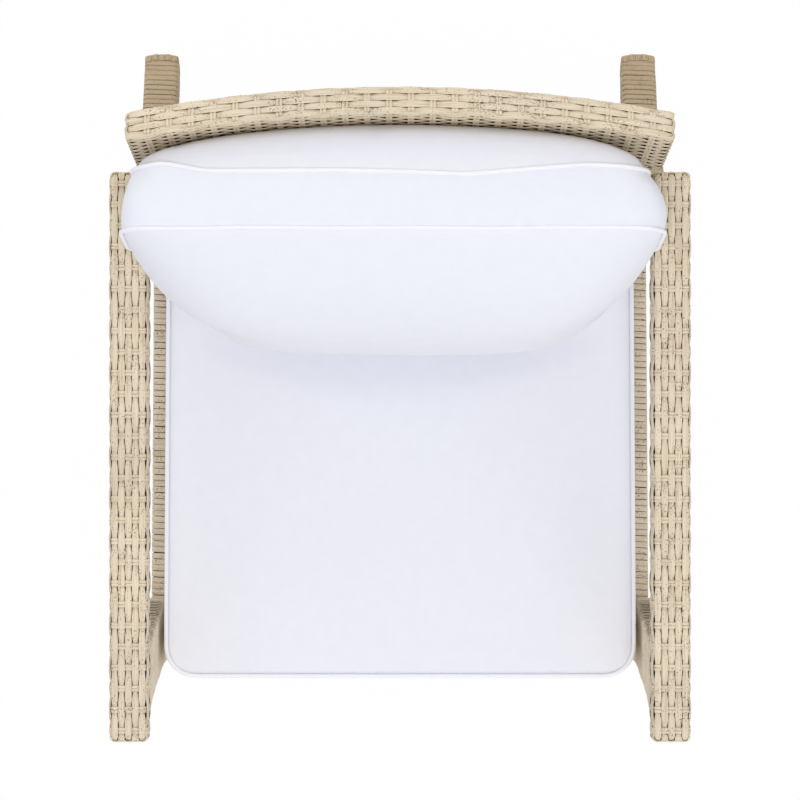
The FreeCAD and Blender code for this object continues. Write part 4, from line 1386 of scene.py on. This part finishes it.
class CHAIR_OT_metalwork(Operator):
    """Finish the frame's tubes, bolts, glides and webbing"""

    bl_idname = "chair.metalwork"
    bl_label = "Frame finishes"

    def execute(self, context):
        coat = powder_coat(context)
        grey, black = screen_colour(190, 190, 188), screen_colour(38, 36, 34)
        brown = screen_colour(96, 84, 70)
        steel = coated_finish("bolt_steel", grey, 0.32, metallic=1.0, grain=1500.0, depth=0.00004)
        plastic = coated_finish("glide_plastic", black, 0.5, grain=1200.0, depth=0.00005)
        web = cloth_finish("elastic_webbing", brown, pitch=0.0022, sheen=0.05)
        kinds = (("tube", coat), ("stile", coat), ("bolts", steel), ("glide", plastic), ("straps", web))
        for node, piece in frame["nodes"].items():
            for word, finish in kinds:
                if word in node:
                    piece.data.materials.clear()
                    piece.data.materials.append(finish)
        return {"FINISHED"}


# ---------------------------------------------------------------- studio

def soft_lamp(context, name, place, aim, size, power):
    """A round area lamp that faces a point."""
    lamp = bpy.data.lights.new(name, "AREA")
    lamp.shape = "DISK"
    lamp.size = size
    lamp.energy = power
    holder = bpy.data.objects.new(name, lamp)
    context.scene.collection.objects.link(holder)
    holder.location = place
    to = np.array(aim) - np.array(place)
    flat = math.hypot(to[0], to[1])
    holder.rotation_euler = (math.atan2(flat, -to[2]), 0.0, math.atan2(to[1], to[0]) - math.pi / 2)


def background_rays(tree):
    """One where the camera, a reflection or a clear material looks straight at the background."""
    rays = tree.nodes.new("ShaderNodeLightPath")
    total = rays.outputs["Is Camera Ray"]
    for name in ("Is Glossy Ray", "Is Transmission Ray"):
        adder = tree.nodes.new("ShaderNodeMath")
        adder.operation = "ADD"
        adder.use_clamp = True
        tree.links.new(total, adder.inputs[0])
        tree.links.new(rays.outputs[name], adder.inputs[1])
        total = adder.outputs["Value"]
    return total


def mixed(tree, share, first, second, output):
    """Send a mix of two shaders to the tree's output."""
    mix = tree.nodes.new("ShaderNodeMixShader")
    tree.links.new(share, mix.inputs["Fac"])
    tree.links.new(first, mix.inputs[1])
    tree.links.new(second, mix.inputs[2])
    tree.links.new(mix.outputs["Shader"], tree.nodes[output].inputs["Surface"])


WHITE = (1.0, 1.0, 1.0, 1.0)
GLOW_SHARE = 0.985


def lay_floor(context):
    """A wide pale floor that keeps the chair's shadow and meets the white background."""
    mesh = bpy.data.meshes.new("studio_floor")
    mesh.from_pydata([(-30, -30, 0), (30, -30, 0), (30, 30, 0), (-30, 30, 0)], [], [(0, 1, 2, 3)])
    floor = bpy.data.objects.new("studio_floor", mesh)
    context.scene.collection.objects.link(floor)
    paint = Finish("floor_paint", (0.86, 0.86, 0.86, 1.0), 0.9)
    glow = paint.node("ShaderNodeEmission", {"Color": WHITE, "Strength": 1.0}).outputs["Emission"]
    share = paint.sum("MULTIPLY", background_rays(paint.tree), GLOW_SHARE)
    mixed(paint.tree, share, paint.shader.outputs["BSDF"], glow, "Material Output")
    mesh.materials.append(paint.material)


def light_air(context):
    """Soft light from all round, and plain white where the camera sees past the floor."""
    world = bpy.data.worlds.new("studio_air")
    context.scene.world = world
    world.use_nodes = True
    tree = world.node_tree
    plain = tree.nodes["Background"]
    plain.inputs["Color"].default_value = (0.96, 0.97, 1.0, 1.0)
    plain.inputs["Strength"].default_value = 0.68
    white = tree.nodes.new("ShaderNodeBackground")
    white.inputs["Color"].default_value = WHITE
    white.inputs["Strength"].default_value = 1.0
    seen = background_rays(tree)
    mixed(tree, seen, plain.outputs["Background"], white.outputs["Background"], "World Output")


def hang_camera(context):
    """A long lens straight above the chair, looking down."""
    lens = bpy.data.cameras.new("chair_camera")
    lens.lens = 145.0
    lens.sensor_width = 36.0
    camera = bpy.data.objects.new("chair_camera", lens)
    context.scene.collection.objects.link(camera)
    camera.location = (0.0, -0.034, 4.77)
    context.scene.camera = camera
    context.scene.view_settings.view_transform = "Standard"


class CHAIR_OT_studio(Operator):
    """Floor, light and camera"""

    bl_idname = "chair.studio"
    bl_label = "Studio"

    def execute(self, context):
        lay_floor(context)
        light_air(context)
        seat = (0.0, 0.0, 0.4)
        soft_lamp(context, "lamp_over", (0.15, -1.3, 7.5), seat, size=3.0, power=165.0)
        soft_lamp(context, "lamp_front", (1.6, -2.8, 1.5), seat, size=1.8, power=10.0)
        soft_lamp(context, "lamp_rear", (-1.2, 2.8, 1.5), seat, size=1.8, power=15.0)
        hang_camera(context)
        return {"FINISHED"}


# ---------------------------------------------------------------- panel and registration

OPERATORS = (
    CHAIR_OT_arms, CHAIR_OT_front_legs, CHAIR_OT_back_legs, CHAIR_OT_seat_rails, CHAIR_OT_backrest,
    CHAIR_OT_seat_cushion, CHAIR_OT_back_cushion, CHAIR_OT_metalwork, CHAIR_OT_studio,
)
SETTINGS = {
    "chair_weave": ChairWeave,
    "chair_winding": ChairWinding,
    "chair_cushions": ChairCushions,
    "chair_colours": ChairColours,
}


class CHAIR_PT_panel(Panel):
    """The chair's pieces, in the order they are made"""

    bl_idname = "CHAIR_PT_panel"
    bl_label = "Woven lounge chair"
    bl_space_type = "VIEW_3D"
    bl_region_type = "UI"
    bl_category = "Chair"

    def draw(self, context):
        for operator in OPERATORS:
            self.layout.operator(operator.bl_idname)
        for name in SETTINGS:
            box = self.layout.box()
            settings = getattr(context.scene, name)
            for key in settings.__annotations__:
                box.prop(settings, key)


def register():
    for kind in (*SETTINGS.values(), *OPERATORS, CHAIR_PT_panel):
        bpy.utils.register_class(kind)
    for name, kind in SETTINGS.items():
        setattr(bpy.types.Scene, name, PointerProperty(type=kind))


def unregister():
    for name in SETTINGS:
        delattr(bpy.types.Scene, name)
    for kind in (CHAIR_PT_panel, *reversed(OPERATORS), *reversed(list(SETTINGS.values()))):
        bpy.utils.unregister_class(kind)


def main():
    register()
    for operator in OPERATORS:
        family, name = operator.bl_idname.split(".")
        getattr(getattr(bpy.ops, family), name)()


if __name__ == "__main__":
    main()
